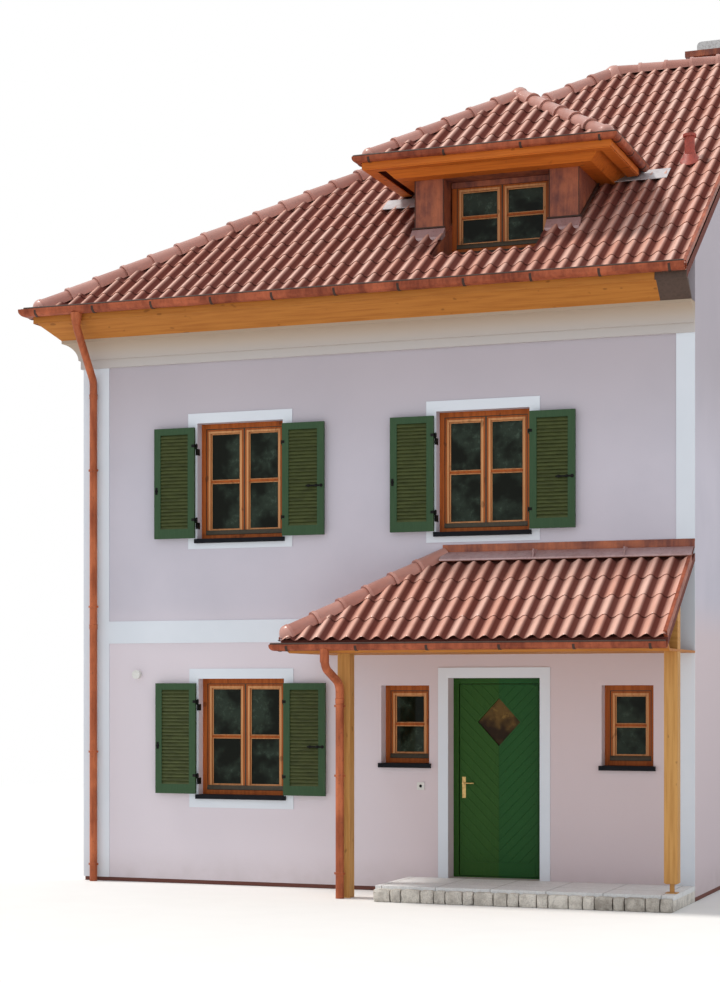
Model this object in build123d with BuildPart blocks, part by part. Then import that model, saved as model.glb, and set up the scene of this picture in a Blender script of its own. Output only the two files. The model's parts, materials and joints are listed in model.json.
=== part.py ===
"""One half of a pair of semi-detached houses, with a hipped clay roof, a dormer and a tiled porch.

Millimetres, +Z up, +X to the right of someone facing the front, front towards -Y.
The origin is the middle of the ground slab's underside.
"""

import os
from collections import namedtuple
from math import asin, ceil, cos, degrees, radians, sin, sqrt, tan

from build123d import *

# Walls and floors
WIDTH = 7250
DEPTH = 10300
WALL_T = 365
PARTY_T = 240
GROUND_T = 165
GROUND_STOREY = 2915
UPPER_STOREY = 2820
KNEE_H = 1015
FLOOR_T = 220
# Pieces that sit on another one leave this much between them
SEAT = 0.3

GROUND_TOP = GROUND_T
UPPER_FLOOR_TOP = GROUND_TOP + GROUND_STOREY
ATTIC_FLOOR_TOP = UPPER_FLOOR_TOP + UPPER_STOREY
LEFT, RIGHT = -WIDTH / 2, WIDTH / 2
FRONT, BACK = -DEPTH / 2, DEPTH / 2
INNER_LEFT, INNER_RIGHT = LEFT + WALL_T, RIGHT - PARTY_T
INNER_FRONT, INNER_BACK = FRONT + WALL_T, BACK - WALL_T

# Main roof: the slopes carry the tiles, and the caps close the hips and the ridge
PITCH = 34
ROOF_T = 90
EAVE_REACH = 430
CAP_R = 105
CAP_WALL = 18
CAP_START = 85
CAP_JOIN = 125
CAP_CREST = 88
CAP_EDGE = 15
CAP_TAPER = 8
CAP_SIDES = 16
TILE_PITCH = 168
TILE_CREST = 104
TILE_WAVE = 36
TILE_BED = 2
TILE_SINK = 10
TILE_CLEAR = 15
ROOF_AT_WALL = ATTIC_FLOOR_TOP + KNEE_H
RISE = tan(radians(PITCH))
ROOF_DROP = ROOF_T / cos(radians(PITCH))

# Openings: centre along the wall from its left corner, foot, width and height
Opening = namedtuple("Opening", "centre foot width height")
WINDOW_W = 1070
WINDOW_H = 1335
LOW_SILL_UP = 870
HIGH_SILL_UP = 903
LOW_WINDOW_X = 2015
HIGH_WINDOW_X = 2000
HIGH_WINDOW_FROM_PARTY = 2344
SMALL_W = 565
SMALL_H = 865
SMALL_SILL_UP = 1260
SMALL_WINDOW_LEFT = 1027
SMALL_WINDOW_RIGHT = 1490
DOOR_FROM_PARTY = 2218
DOOR_FOOT_UP = 12
DOOR_W = 1046
DOOR_H = 2194
SIDE_WINDOW_IN = 2700
BACK_WINDOW_PARTY = 1900
BACK_WINDOW_CORNER = 2150

LOW_SILL = GROUND_TOP + LOW_SILL_UP
HIGH_SILL = UPPER_FLOOR_TOP + HIGH_SILL_UP
SMALL_SILL = GROUND_TOP + SMALL_SILL_UP
DOOR = Opening(WIDTH - DOOR_FROM_PARTY, GROUND_TOP + DOOR_FOOT_UP, DOOR_W, DOOR_H)
LOW_WINDOW = Opening(LOW_WINDOW_X, LOW_SILL, WINDOW_W, WINDOW_H)
HIGH_WINDOWS = [
    Opening(x, HIGH_SILL, WINDOW_W, WINDOW_H)
    for x in (HIGH_WINDOW_X, WIDTH - HIGH_WINDOW_FROM_PARTY)
]
SMALL_WINDOWS = [
    Opening(x, SMALL_SILL, SMALL_W, SMALL_H)
    for x in (DOOR.centre - SMALL_WINDOW_LEFT, DOOR.centre + SMALL_WINDOW_RIGHT)
]
SIDE_WINDOWS = [
    Opening(x, foot, WINDOW_W, WINDOW_H)
    for foot in (LOW_SILL, HIGH_SILL)
    for x in (SIDE_WINDOW_IN, DEPTH - SIDE_WINDOW_IN)
]
BACK_WINDOWS = [
    Opening(x, foot, WINDOW_W, WINDOW_H)
    for foot in (LOW_SILL, HIGH_SILL)
    for x in (BACK_WINDOW_PARTY, WIDTH - BACK_WINDOW_CORNER)
]

# Plaster trim
TRIM_T = 10
SURROUND_W = 115
APRON_LOW = 100
APRON_HIGH = 65
APRON_REST = 80
CORNER_BAND = 326
PARTY_BAND = 200
STRING_DOWN = 295
STRING_H = 258
BASE_RECESS = 15
BASE_H = 45
STRING_FOOT = UPPER_FLOOR_TOP - STRING_DOWN
STRING_TOP = STRING_FOOT + STRING_H

# Eaves
CORNICE_DOWN = 575
CORNICE_H = 320
CORNICE_BAND = 100
CORNICE_REACH = 200
CORNICE_STEP = 35
COVE_STEP = 20
COVE_EDGE = 10
EAVE_BOARD_T = 25
BOARD_TIP_IN = 15
PARTY_PLATE_W = 330
CORNICE_TOP = ROOF_AT_WALL - CORNICE_DOWN
CORNICE_FOOT = CORNICE_TOP - CORNICE_H

# Gutters and downpipes
GUTTER_R = 70
GUTTER_WALL = 6
GUTTER_SIDE = 16
GUTTER_LIP = 30
GUTTER_RIM_UP = 45
SMALL_GUTTER_R = 50
PIPE_R = 45
PIPE_SIDES = 12
PIPE_GAP = 35
PIPE_NECK = 140
PIPE_TURN_DOWN = 160
CLAMP_T = 6
CLAMP_H = 34
CLAMP_ARM = 24
MAIN_CLAMPS = (180, 1500, 3200, 4800)
PORCH_CLAMPS = (250, 1300, 2050)
MAIN_PIPE_IN = 157
PORCH_PIPE_IN = 52
PORCH_PIPE_GAP = 25
PORCH_NECK = 175

# Windows
FRAME_BACK = 115
SMALL_BACK = 150
FRAME_W = 55
FRAME_T = 70
SASH_W = 55
SASH_T = 60
BAR_W = 24
BAR_T = 28
GLASS_T = 24
SILL_T = 50
SILL_REACH = 45
SILL_SIDE = 25

# Front door
DOOR_BACK = 190
DOOR_FRAME_W = 62
DOOR_FRAME_T = 80
LEAF_T = 62
LEAF_GAP = 6
LOCK_GAP = 10
DIAMOND_W = 490
DIAMOND_H = 530
DIAMOND_UP = 1720
DIAMOND_RIM = 28
WEATHER_H = 150
WEATHER_IN = 40
WEATHER_OUT = 5
DOOR_HINGE_R = 9
DOOR_HINGE_H = 90
DOOR_HINGE_IN = 250
DOOR_ARM_T = 6
LEVER_UP = 1041
LEVER_IN = 50
LEVER_LONG = 125
LEVER_R = 8
STEM_R = 10
STEM_OUT = 52
HANDLE_W = 42
HANDLE_ABOVE = 70
HANDLE_BELOW = 165
HANDLE_T = 5

# Shutters
LEAF_W = 508
SHUTTER_H = 1275
SHUTTER_T = 35
SHUTTER_UP = 8
HINGE_OUT = 30
HINGE_GAP = 14
STILE_W = 80
TOP_RAIL = 76
BOTTOM_RAIL = 110
SLATS = 27
SLAT_T = 7
SLAT_TILT = 28
SLAT_EDGE = 3
SLAT_HOLD = 8
PANEL_IN = 8
PIN_R = 6
PIN_SIDES = 12
PIN_CLEAR = 0.5
KNUCKLE_WALL = 5
KNUCKLE_H = 44
STRAP_T = 5
STRAP_LONG = 160
ARM_LONG = 34
ARM_H = 14
HINGE_UP = 190

# Dormer
DORMER_FROM_PARTY = 2425
DORMER_W = 1940
DORMER_BACK = 770
PIER_W = 350
NICHE_DEPTH = 250
NICHE_BACK = 200
NICHE_UP = 185
CHEEK_T = 120
DORMER_SILL_T = 25
DORMER_SILL_UP = 35
DORMER_WINDOW_H = 820
DORMER_CREST = 1120
DORMER_REACH = 465
DORMER_ROOF_T = 70
DORMER_RUN_ON = 200
SOFFIT_IN = 180
DORMER_TIP_IN = 125
DORMER_GUTTER_TO = 1030
LINING_T = 20

# Porch
PORCH_W = 4170
PORCH_REACH = 1370
PORCH_EAVE_UP = 2600
PORCH_T = 70
POST = 140
POST_IN = 468
BEAM_H = 180
CEILING_DOWN = 135
CEILING_IN = 300
CEILING_EDGE = 230
CEILING_TIP = 285
SHOE_H = 105
SHOE_IN = 10
SHOE_T = 8
SHOE_R = 25
FLASH_UP = 150
FLASH_T = 6
FLASH_OUT = 150
FLASH_LIP = 25
TILE_UP = 60

# Terrace
TERRACE_GAP = 365
TERRACE_REACH = 1100
PLATE_T = 50
SETT_W = 110
SETT_DOWN = 25

# Chimney behind the ridge, and the soil vent on the front slope
CHIMNEY_FROM_PARTY = 980
CHIMNEY_BEHIND = 1550
CHIMNEY_W = 760
CHIMNEY_D = 500
CHIMNEY_OVER_RIDGE = 622
SLAB_T = 80
SLAB_OUT = 50
HOOD_W = 580
HOOD_D = 320
HOOD_H = 155
HOOD_ROUND = 60
VENT_FROM_PARTY = 480
VENT_IN = 2100
VENT_R = 60
VENT_UP = 330
VENT_CAP_OUT = 20
VENT_CAP_T = 30

# Bell push by the door, and the lamp near the corner
BELL_FROM_DOOR = 841
BELL_UP = 1009
BELL_W = 85
BELL_T = 12
BELL_ROUND = 6
LAMP_X = 700
LAMP_UP = 2255
LAMP_R = 50
LAMP_OUT = 60


def block(x0, x1, y0, y1, z0, z1):
    """A plain block between the given faces."""
    with BuildPart() as made:
        with BuildSketch(Plane.XY.offset(z0)):
            with Locations(((x0 + x1) / 2, (y0 + y1) / 2)):
                Rectangle(x1 - x0, y1 - y0)
        extrude(amount=z1 - z0)
    return made.part


def prism_along_x(points, x0, x1):
    """A closed outline of (y, z) points, drawn out from x0 to x1."""
    with BuildPart() as made:
        with BuildSketch(Plane.YZ.offset(x0)):
            with BuildLine():
                Polyline(*points, close=True)
            make_face()
        extrude(amount=x1 - x0)
    return made.part


def prism_along_y(points, y0, y1):
    """A closed outline of (x, z) points, drawn out from y0 to y1."""
    with BuildPart() as made:
        with BuildSketch(Plane.XZ.offset(-y1)):
            with BuildLine():
                Polyline(*points, close=True)
            make_face()
        extrude(amount=y1 - y0)
    return made.part


def prism_up(points, z0, z1):
    """A closed outline of (x, y) points, drawn up from z0 to z1."""
    with BuildPart() as made:
        with BuildSketch(Plane.XY.offset(z0)):
            with BuildLine():
                Polyline(*points, close=True)
            make_face()
        extrude(amount=z1 - z0)
    return made.part


def keep(part, name):
    """Label a finished piece and write it out."""
    part.label = name
    export_step(part, f"parts/{name}.step")


os.makedirs("parts", exist_ok=True)

# The main roof's planes
EAVE_Z = ROOF_AT_WALL - EAVE_REACH * RISE
RIDGE_Z = ROOF_AT_WALL + DEPTH / 2 * RISE
APEX_X = LEFT + DEPTH / 2
ROOF_HIGH = RIDGE_Z + ROOF_T


def main_roof_z(y):
    """Height of the main roof's upper face over a point of the front slope."""
    return ROOF_AT_WALL + (y - FRONT) * RISE


def roof_space(drop):
    """All that lies under the main roof's upper face, lowered by drop."""
    over = 2 * DEPTH
    ridge = RIDGE_Z - drop
    with BuildPart() as made:
        add(prism_along_x(
            [(-over, ridge - over * RISE), (0, ridge), (over, ridge - over * RISE)],
            -over, over,
        ))
        add(prism_along_y(
            [(APEX_X - over, ridge - over * RISE), (APEX_X, ridge), (over, ridge),
             (over, ridge - over * RISE)],
            -over, over,
        ), mode=Mode.INTERSECT)
    return made.part


UNDER_ROOF = roof_space(ROOF_DROP)


# Floors
with BuildPart() as ground_slab:
    add(block(INNER_LEFT, INNER_RIGHT, INNER_FRONT, INNER_BACK, 0, GROUND_TOP))
    door_left = LEFT + DOOR.centre - DOOR.width / 2
    add(block(door_left, door_left + DOOR.width, FRONT, INNER_FRONT, 0, GROUND_TOP))
keep(ground_slab.part, "ground_slab")

with BuildPart() as upper_floors:
    for top in (UPPER_FLOOR_TOP, ATTIC_FLOOR_TOP):
        add(block(INNER_LEFT, INNER_RIGHT, INNER_FRONT, INNER_BACK, top - FLOOR_T, top))
keep(upper_floors.part, "upper_floors")


# Walls. A wall's plane is seen from outside, with its own left corner as zero.
def wall_frame(side):
    """Plane on a wall's outer face, x along the wall, y up, facing out."""
    if side == "front":
        return Plane(origin=(LEFT, FRONT, 0), x_dir=(1, 0, 0), z_dir=(0, -1, 0))
    if side == "back":
        return Plane(origin=(RIGHT, BACK, 0), x_dir=(-1, 0, 0), z_dir=(0, 1, 0))
    return Plane(origin=(LEFT, BACK, 0), x_dir=(0, -1, 0), z_dir=(-1, 0, 0))


def cut_opening(o):
    """Cut a window's opening, down to the underside of its sill, from the sketch."""
    with Locations((o.centre, o.foot + (o.height - SILL_T) / 2)):
        Rectangle(o.width, o.height + SILL_T, mode=Mode.SUBTRACT)


def wall_piece(side, x0, x1, z0, z1, openings):
    """A stretch of a wall with its openings cut through and its recessed foot."""
    frame = wall_frame(side)
    with BuildPart() as made:
        with BuildSketch(frame):
            with Locations(((x0 + x1) / 2, (z0 + z1) / 2)):
                Rectangle(x1 - x0, z1 - z0)
            for o in openings:
                cut_opening(o)
        extrude(amount=-WALL_T)
        if z0 == 0:
            with BuildSketch(frame):
                with Locations(((x0 + x1) / 2, BASE_H / 2)):
                    Rectangle(x1 - x0, BASE_H)
            extrude(amount=-BASE_RECESS, mode=Mode.SUBTRACT)
        add(UNDER_ROOF, mode=Mode.INTERSECT)
    return made.part


FRONT_SPAN = WIDTH - PARTY_T
SIDE_FROM, SIDE_TO = WALL_T, DEPTH - WALL_T
STOREY_SPLIT = UPPER_FLOOR_TOP - FLOOR_T
DOOR_L = DOOR.centre - DOOR.width / 2
DOOR_R = DOOR.centre + DOOR.width / 2
DOOR_TOP = DOOR.foot + DOOR.height

keep(
    wall_piece("front", 0, DOOR_L, 0, STOREY_SPLIT, [LOW_WINDOW, SMALL_WINDOWS[0]]),
    "front_wall_left",
)
keep(
    wall_piece("front", DOOR_R, FRONT_SPAN, 0, STOREY_SPLIT, [SMALL_WINDOWS[1]]),
    "front_wall_right",
)
keep(wall_piece("front", DOOR_L, DOOR_R, DOOR_TOP, STOREY_SPLIT, []), "front_wall_over_door")
keep(wall_piece("front", 0, FRONT_SPAN, STOREY_SPLIT, ROOF_HIGH, HIGH_WINDOWS), "front_wall_upper")
keep(wall_piece("side", SIDE_FROM, SIDE_TO, 0, ROOF_HIGH, SIDE_WINDOWS), "side_wall")
keep(wall_piece("back", PARTY_T, WIDTH, 0, ROOF_HIGH, BACK_WINDOWS), "back_wall")

with BuildPart() as party_wall:
    add(block(INNER_RIGHT, RIGHT, FRONT, BACK, 0, RIDGE_Z))
    add(UNDER_ROOF, mode=Mode.INTERSECT)
keep(party_wall.part, "party_wall")


# Runs that turn square corners, such as cornices and gutters
def straight_run(a, b, outline, reach, turns_at_a, turns_at_b):
    """One run from a to b of a section whose x points outwards, mitred where the run turns."""
    a, b = Vector(*a), Vector(*b)
    along = (b - a).normalized()
    out = Vector(along.Y, -along.X)
    start = a - along * reach
    with BuildPart() as made:
        with BuildSketch(Plane(origin=start, x_dir=out, z_dir=-along)):
            add(outline)
        extrude(amount=-((b - a).length + 2 * reach))
        a_out = a + out * reach - along * (reach if turns_at_a else 0)
        b_out = b + out * reach + along * (reach if turns_at_b else 0)
        with BuildSketch():
            with BuildLine():
                Polyline(a, b, b_out, a_out, close=True)
            make_face()
        extrude(amount=ROOF_HIGH, mode=Mode.INTERSECT)
    return made.part


def mitred_run(path, outline, reach):
    """A section carried along a path of (x, y) corners, its outside on the right."""
    last = len(path) - 2
    runs = [
        straight_run(path[i], path[i + 1], outline, reach, i > 0, i < last)
        for i in range(last + 1)
    ]
    with BuildPart() as made:
        for run in runs:
            add(run)
    return made.part


def closed_outline(points):
    """A section given by its corners, as (outward, up)."""
    with BuildSketch() as section:
        with BuildLine():
            Polyline(*points, close=True)
        make_face()
    return section.sketch


def gutter_outline(middle, rim, radius):
    """A half-round gutter, open at the top, with a flat back that lies on the eave's edge."""
    centre = rim - GUTTER_SIDE
    lip = centre - GUTTER_LIP
    inner = radius - GUTTER_WALL
    turn = degrees(asin(GUTTER_LIP / radius))
    with BuildSketch() as section:
        with BuildLine():
            Line((middle - inner, rim), (middle - radius, rim))
            Line((middle - radius, rim), (middle - radius, lip))
            Line((middle - radius, lip), (middle - radius * cos(radians(turn)), lip))
            CenterArc((middle, centre), radius, 180 + turn, 180 - turn)
            Line((middle + radius, centre), (middle + radius, rim))
            Line((middle + radius, rim), (middle + inner, rim))
            Line((middle + inner, rim), (middle + inner, centre))
            CenterArc((middle, centre), inner, 0, -180)
            Line((middle - inner, centre), (middle - inner, rim))
        make_face()
    return section.sketch


# Main roof slopes, mitred along the hips and the ridge, with the front one cut for the dormer
MAIN_UPPER = roof_space(0)
ROOF_HOUSE_PATH = [(RIGHT, BACK), (LEFT, BACK), (LEFT, FRONT), (RIGHT, FRONT)]
EAVE_L, EAVE_F, EAVE_B = LEFT - EAVE_REACH, FRONT - EAVE_REACH, BACK + EAVE_REACH

NICHE_Y = FRONT + NICHE_BACK
NICHE_FOOT = main_roof_z(NICHE_Y) + NICHE_UP
DORMER_WINDOW_FOOT = NICHE_FOOT + DORMER_SILL_UP
DORMER_SOFFIT = DORMER_WINDOW_FOOT + DORMER_WINDOW_H
DORMER_RIDGE = DORMER_SOFFIT + DORMER_CREST
DORMER_MID = RIGHT - DORMER_FROM_PARTY
DORMER_L, DORMER_R = DORMER_MID - DORMER_W / 2, DORMER_MID + DORMER_W / 2
DORMER_Y = FRONT + DORMER_BACK
NICHE_HALF = DORMER_W / 2 - PIER_W
WINDOW_Y = DORMER_Y + NICHE_DEPTH
PIER_BACK = WINDOW_Y + FRAME_T
ATTIC_BACK = FRONT + (DORMER_SOFFIT - ROOF_AT_WALL) / RISE


def slope(plan):
    """The roof slab over a plan outline."""
    with BuildPart() as made:
        add(prism_up(plan, CORNICE_FOOT, ROOF_HIGH))
        add(MAIN_UPPER, mode=Mode.INTERSECT)
        add(UNDER_ROOF, mode=Mode.SUBTRACT)
    return made.part


# The tiles' rolls run up each slope and stop clear of the caps and of what stands on the roof
SLOPE_LENGTH = (DEPTH / 2 + EAVE_REACH) / cos(radians(PITCH))
ROLL_HIP = (CAP_R + TILE_CLEAR) * sqrt(2)
ROLL_RIDGE = CAP_R + TILE_CLEAR
DORMER_ZONE = DORMER_W / 2 + DORMER_REACH + 3 * SMALL_GUTTER_R
DORMER_BEHIND = FRONT + (DORMER_RIDGE - ROOF_AT_WALL) / RISE + 2 * CAP_R
chimney_x, chimney_y = RIGHT - CHIMNEY_FROM_PARTY, CHIMNEY_BEHIND
vent_x, vent_y = RIGHT - VENT_FROM_PARTY, FRONT + VENT_IN


def zone_round(x, y, half_w, half_d):
    """The space over a rectangle in plan, given by its middle and its half sizes."""
    return block(x - half_w, x + half_w, y - half_d, y + half_d, EAVE_Z, ROOF_HIGH)


def rolls(corner, along, inward, width, plan, zones):
    """The rolls of one slope, from its eave's corner, over a plan outline without the zones."""
    up = inward * cos(radians(PITCH)) + Vector(0, 0, sin(radians(PITCH)))
    section = Plane(origin=corner + up * SLOPE_LENGTH, x_dir=along, z_dir=-up)
    waves = []
    for i in range(ceil(width / TILE_PITCH)):
        waves += [(i * TILE_PITCH, TILE_BED), (i * TILE_PITCH + TILE_CREST, TILE_WAVE)]
    far = ceil(width / TILE_PITCH) * TILE_PITCH
    with BuildPart() as made:
        with BuildSketch(section):
            add(closed_outline([(0, -TILE_SINK), *waves, (far, TILE_BED), (far, -TILE_SINK)]))
        extrude(amount=SLOPE_LENGTH + TILE_WAVE)
        add(prism_up(plan, EAVE_Z - ROOF_T, ROOF_HIGH + ROOF_T), mode=Mode.INTERSECT)
        for zone in zones:
            add(zone, mode=Mode.SUBTRACT)
    return made.part


front_rolls = rolls(
    Vector(EAVE_L, EAVE_F, EAVE_Z), Vector(1, 0, 0), Vector(0, 1, 0), RIGHT - EAVE_L,
    [
        (EAVE_L + ROLL_HIP, EAVE_F), (RIGHT, EAVE_F), (RIGHT, -ROLL_RIDGE),
        (APEX_X - ROLL_RIDGE + ROLL_HIP, -ROLL_RIDGE),
    ],
    [
        prism_up([
            (DORMER_MID - DORMER_ZONE, DORMER_Y - DORMER_REACH - 3 * SMALL_GUTTER_R),
            (DORMER_MID + DORMER_ZONE, DORMER_Y - DORMER_REACH - 3 * SMALL_GUTTER_R),
            (DORMER_MID + DORMER_ZONE, DORMER_BEHIND - DORMER_ZONE),
            (DORMER_MID, DORMER_BEHIND),
            (DORMER_MID - DORMER_ZONE, DORMER_BEHIND - DORMER_ZONE),
        ], EAVE_Z, ROOF_HIGH),
        zone_round(vent_x, vent_y, VENT_R + TILE_CLEAR, VENT_R + TILE_CLEAR),
    ],
)
side_rolls = rolls(
    Vector(EAVE_L, EAVE_B, EAVE_Z), Vector(0, -1, 0), Vector(1, 0, 0), EAVE_B - EAVE_F,
    [(EAVE_L, EAVE_F + ROLL_HIP), (EAVE_L, EAVE_B - ROLL_HIP), (APEX_X - ROLL_HIP, 0)],
    [],
)
back_rolls = rolls(
    Vector(RIGHT, EAVE_B, EAVE_Z), Vector(-1, 0, 0), Vector(0, -1, 0), RIGHT - EAVE_L,
    [
        (EAVE_L + ROLL_HIP, EAVE_B), (RIGHT, EAVE_B), (RIGHT, ROLL_RIDGE),
        (APEX_X - ROLL_RIDGE + ROLL_HIP, ROLL_RIDGE),
    ],
    [zone_round(
        chimney_x, chimney_y, CHIMNEY_W / 2 + TILE_CLEAR, CHIMNEY_D / 2 + TILE_CLEAR,
    )],
)

with BuildPart() as front_slope:
    add(slope([(EAVE_L, EAVE_F), (RIGHT, EAVE_F), (RIGHT, 0), (APEX_X, 0)]))
    add(block(
        DORMER_MID - NICHE_HALF, DORMER_MID + NICHE_HALF, NICHE_Y, PIER_BACK,
        EAVE_Z, ROOF_HIGH,
    ), mode=Mode.SUBTRACT)
    add(block(
        DORMER_L + CHEEK_T, DORMER_R - CHEEK_T, PIER_BACK, ATTIC_BACK, EAVE_Z, ROOF_HIGH,
    ), mode=Mode.SUBTRACT)
    add(front_rolls)
keep(front_slope.part, "roof_front_slope")
with BuildPart() as side_slope:
    add(slope([(EAVE_L, EAVE_F), (APEX_X, 0), (EAVE_L, EAVE_B)]))
    add(side_rolls)
keep(side_slope.part, "roof_side_slope")
with BuildPart() as back_slope:
    add(slope([(EAVE_L, EAVE_B), (APEX_X, 0), (RIGHT, 0), (RIGHT, EAVE_B)]))
    add(back_rolls)
keep(back_slope.part, "roof_back_slope")


# Eaves: the plaster cornice, the sloping board above it and the plate at the party line
def under_eave(out):
    """Height of the roof's underside at a distance outside the wall."""
    return ROOF_AT_WALL - ROOF_DROP - out * RISE


COVE_IN = CORNICE_STEP + COVE_STEP
COVE_OUT = CORNICE_REACH - COVE_EDGE
COVE_FOOT = CORNICE_FOOT + CORNICE_BAND
COVE_TOP = CORNICE_TOP - CORNICE_STEP
with BuildSketch() as cornice_section:
    with BuildLine():
        Polyline(
            (0, CORNICE_TOP), (0, CORNICE_FOOT), (CORNICE_STEP, CORNICE_FOOT),
            (CORNICE_STEP, COVE_FOOT), (COVE_IN, COVE_FOOT),
        )
        TangentArc((COVE_IN, COVE_FOOT), (COVE_OUT, COVE_TOP), tangent=(0, 1))
        Polyline(
            (COVE_OUT, COVE_TOP), (CORNICE_REACH, COVE_TOP), (CORNICE_REACH, CORNICE_TOP),
            (0, CORNICE_TOP),
        )
    make_face()
keep(mitred_run(ROOF_HOUSE_PATH, cornice_section.sketch, EAVE_REACH), "cornice")

BOARD_SEAT = EAVE_BOARD_T / cos(radians(PITCH)) + EAVE_BOARD_T / 4
BOARD_TIP = EAVE_REACH - BOARD_TIP_IN
eave_ring = mitred_run(ROOF_HOUSE_PATH, closed_outline([
    (CORNICE_REACH, CORNICE_TOP),
    (BOARD_TIP, under_eave(BOARD_TIP)),
    (BOARD_TIP - BOARD_SEAT, under_eave(BOARD_TIP - BOARD_SEAT)),
    (CORNICE_REACH - BOARD_SEAT, CORNICE_TOP),
]), EAVE_REACH)
plate_zone = block(
    RIGHT - PARTY_PLATE_W, RIGHT, FRONT - EAVE_REACH, BACK + EAVE_REACH, CORNICE_TOP, ROOF_HIGH,
)
with BuildPart() as eave_boards:
    add(eave_ring)
    add(plate_zone, mode=Mode.SUBTRACT)
keep(eave_boards.part, "eave_boards")
with BuildPart() as party_eave_plates:
    add(eave_ring)
    add(plate_zone, mode=Mode.INTERSECT)
keep(party_eave_plates.part, "party_eave_plates")

keep(
    mitred_run(
        ROOF_HOUSE_PATH,
        gutter_outline(EAVE_REACH + SEAT + GUTTER_R, EAVE_Z + GUTTER_RIM_UP, GUTTER_R),
        EAVE_REACH + 3 * GUTTER_R,
    ),
    "main_gutter",
)


# Dormer: the space under its roof is hipped at the front and runs back into the main roof
DORMER_HALF = DORMER_W / 2 + DORMER_REACH
DORMER_DROP = DORMER_ROOF_T / cos(radians(PITCH))
DORMER_EAVE = DORMER_RIDGE - DORMER_HALF * RISE
DORMER_FAR = FRONT + (DORMER_RIDGE - ROOF_AT_WALL) / RISE + DORMER_RUN_ON
DORMER_EAVE_Y = DORMER_Y - DORMER_REACH
DORMER_APEX_Y = DORMER_EAVE_Y + DORMER_HALF


def dormer_space(drop):
    """All that lies under the dormer roof's upper face, lowered by drop."""
    ridge, over = DORMER_RIDGE - drop, 2 * DORMER_HALF
    low = ridge - over * RISE
    with BuildPart() as made:
        add(prism_along_y(
            [(DORMER_MID - over, low), (DORMER_MID, ridge), (DORMER_MID + over, low)],
            FRONT - over, DORMER_FAR,
        ))
        add(prism_along_x(
            [(DORMER_APEX_Y - over, low), (DORMER_APEX_Y, ridge), (DORMER_FAR, ridge),
             (DORMER_FAR, low)],
            DORMER_MID - over, DORMER_MID + over,
        ), mode=Mode.INTERSECT)
    return made.part


DORMER_UNDER = dormer_space(DORMER_DROP)

with BuildPart() as dormer_body:
    for inner, outer in ((-NICHE_HALF, -DORMER_W / 2), (NICHE_HALF, DORMER_W / 2)):
        x0, x1 = sorted((DORMER_MID + inner, DORMER_MID + outer))
        add(block(x0, x1, DORMER_Y, PIER_BACK, EAVE_Z, ROOF_HIGH))
    add(block(DORMER_L, DORMER_L + CHEEK_T, DORMER_Y, DORMER_FAR, EAVE_Z, ROOF_HIGH))
    add(block(DORMER_R - CHEEK_T, DORMER_R, DORMER_Y, DORMER_FAR, EAVE_Z, ROOF_HIGH))
    add(block(DORMER_L, DORMER_R, DORMER_Y, PIER_BACK, DORMER_SOFFIT, ROOF_HIGH))
    add(DORMER_UNDER, mode=Mode.INTERSECT)
    add(MAIN_UPPER, mode=Mode.SUBTRACT)
keep(dormer_body.part, "dormer_body")

with BuildPart() as dormer_roof:
    add(block(
        DORMER_MID - DORMER_HALF, DORMER_MID + DORMER_HALF, DORMER_EAVE_Y, DORMER_FAR,
        EAVE_Z, ROOF_HIGH,
    ))
    add(dormer_space(0), mode=Mode.INTERSECT)
    add(DORMER_UNDER, mode=Mode.SUBTRACT)
    add(MAIN_UPPER, mode=Mode.SUBTRACT)
keep(dormer_roof.part, "dormer_roof")

DORMER_PATH = [(DORMER_L, 0), (DORMER_L, DORMER_Y), (DORMER_R, DORMER_Y), (DORMER_R, 0)]


def under_dormer(out):
    """Height of the dormer roof's underside at a distance outside its body."""
    return DORMER_RIDGE - DORMER_DROP - (DORMER_W / 2 + out) * RISE


DORMER_TIP = DORMER_REACH - DORMER_TIP_IN
with BuildPart() as dormer_eaves:
    add(mitred_run(DORMER_PATH, closed_outline([
        (0, DORMER_SOFFIT),
        (SOFFIT_IN, DORMER_SOFFIT),
        (DORMER_TIP, under_dormer(DORMER_TIP)),
        (DORMER_TIP - BOARD_SEAT, under_dormer(DORMER_TIP - BOARD_SEAT)),
        (SOFFIT_IN - BOARD_SEAT / 2, DORMER_SOFFIT + EAVE_BOARD_T),
        (0, DORMER_SOFFIT + EAVE_BOARD_T),
    ]), DORMER_REACH))
    add(MAIN_UPPER, mode=Mode.SUBTRACT)
keep(dormer_eaves.part, "dormer_eaves")

GUTTER_STOP = DORMER_Y + DORMER_GUTTER_TO
DORMER_GUTTER_PATH = [
    (DORMER_L, GUTTER_STOP), (DORMER_L, DORMER_Y), (DORMER_R, DORMER_Y), (DORMER_R, GUTTER_STOP),
]
keep(
    mitred_run(
        DORMER_GUTTER_PATH,
        gutter_outline(
            DORMER_REACH + SEAT + SMALL_GUTTER_R, DORMER_EAVE + GUTTER_RIM_UP, SMALL_GUTTER_R,
        ),
        DORMER_REACH + 3 * SMALL_GUTTER_R,
    ),
    "dormer_gutter",
)

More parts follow.
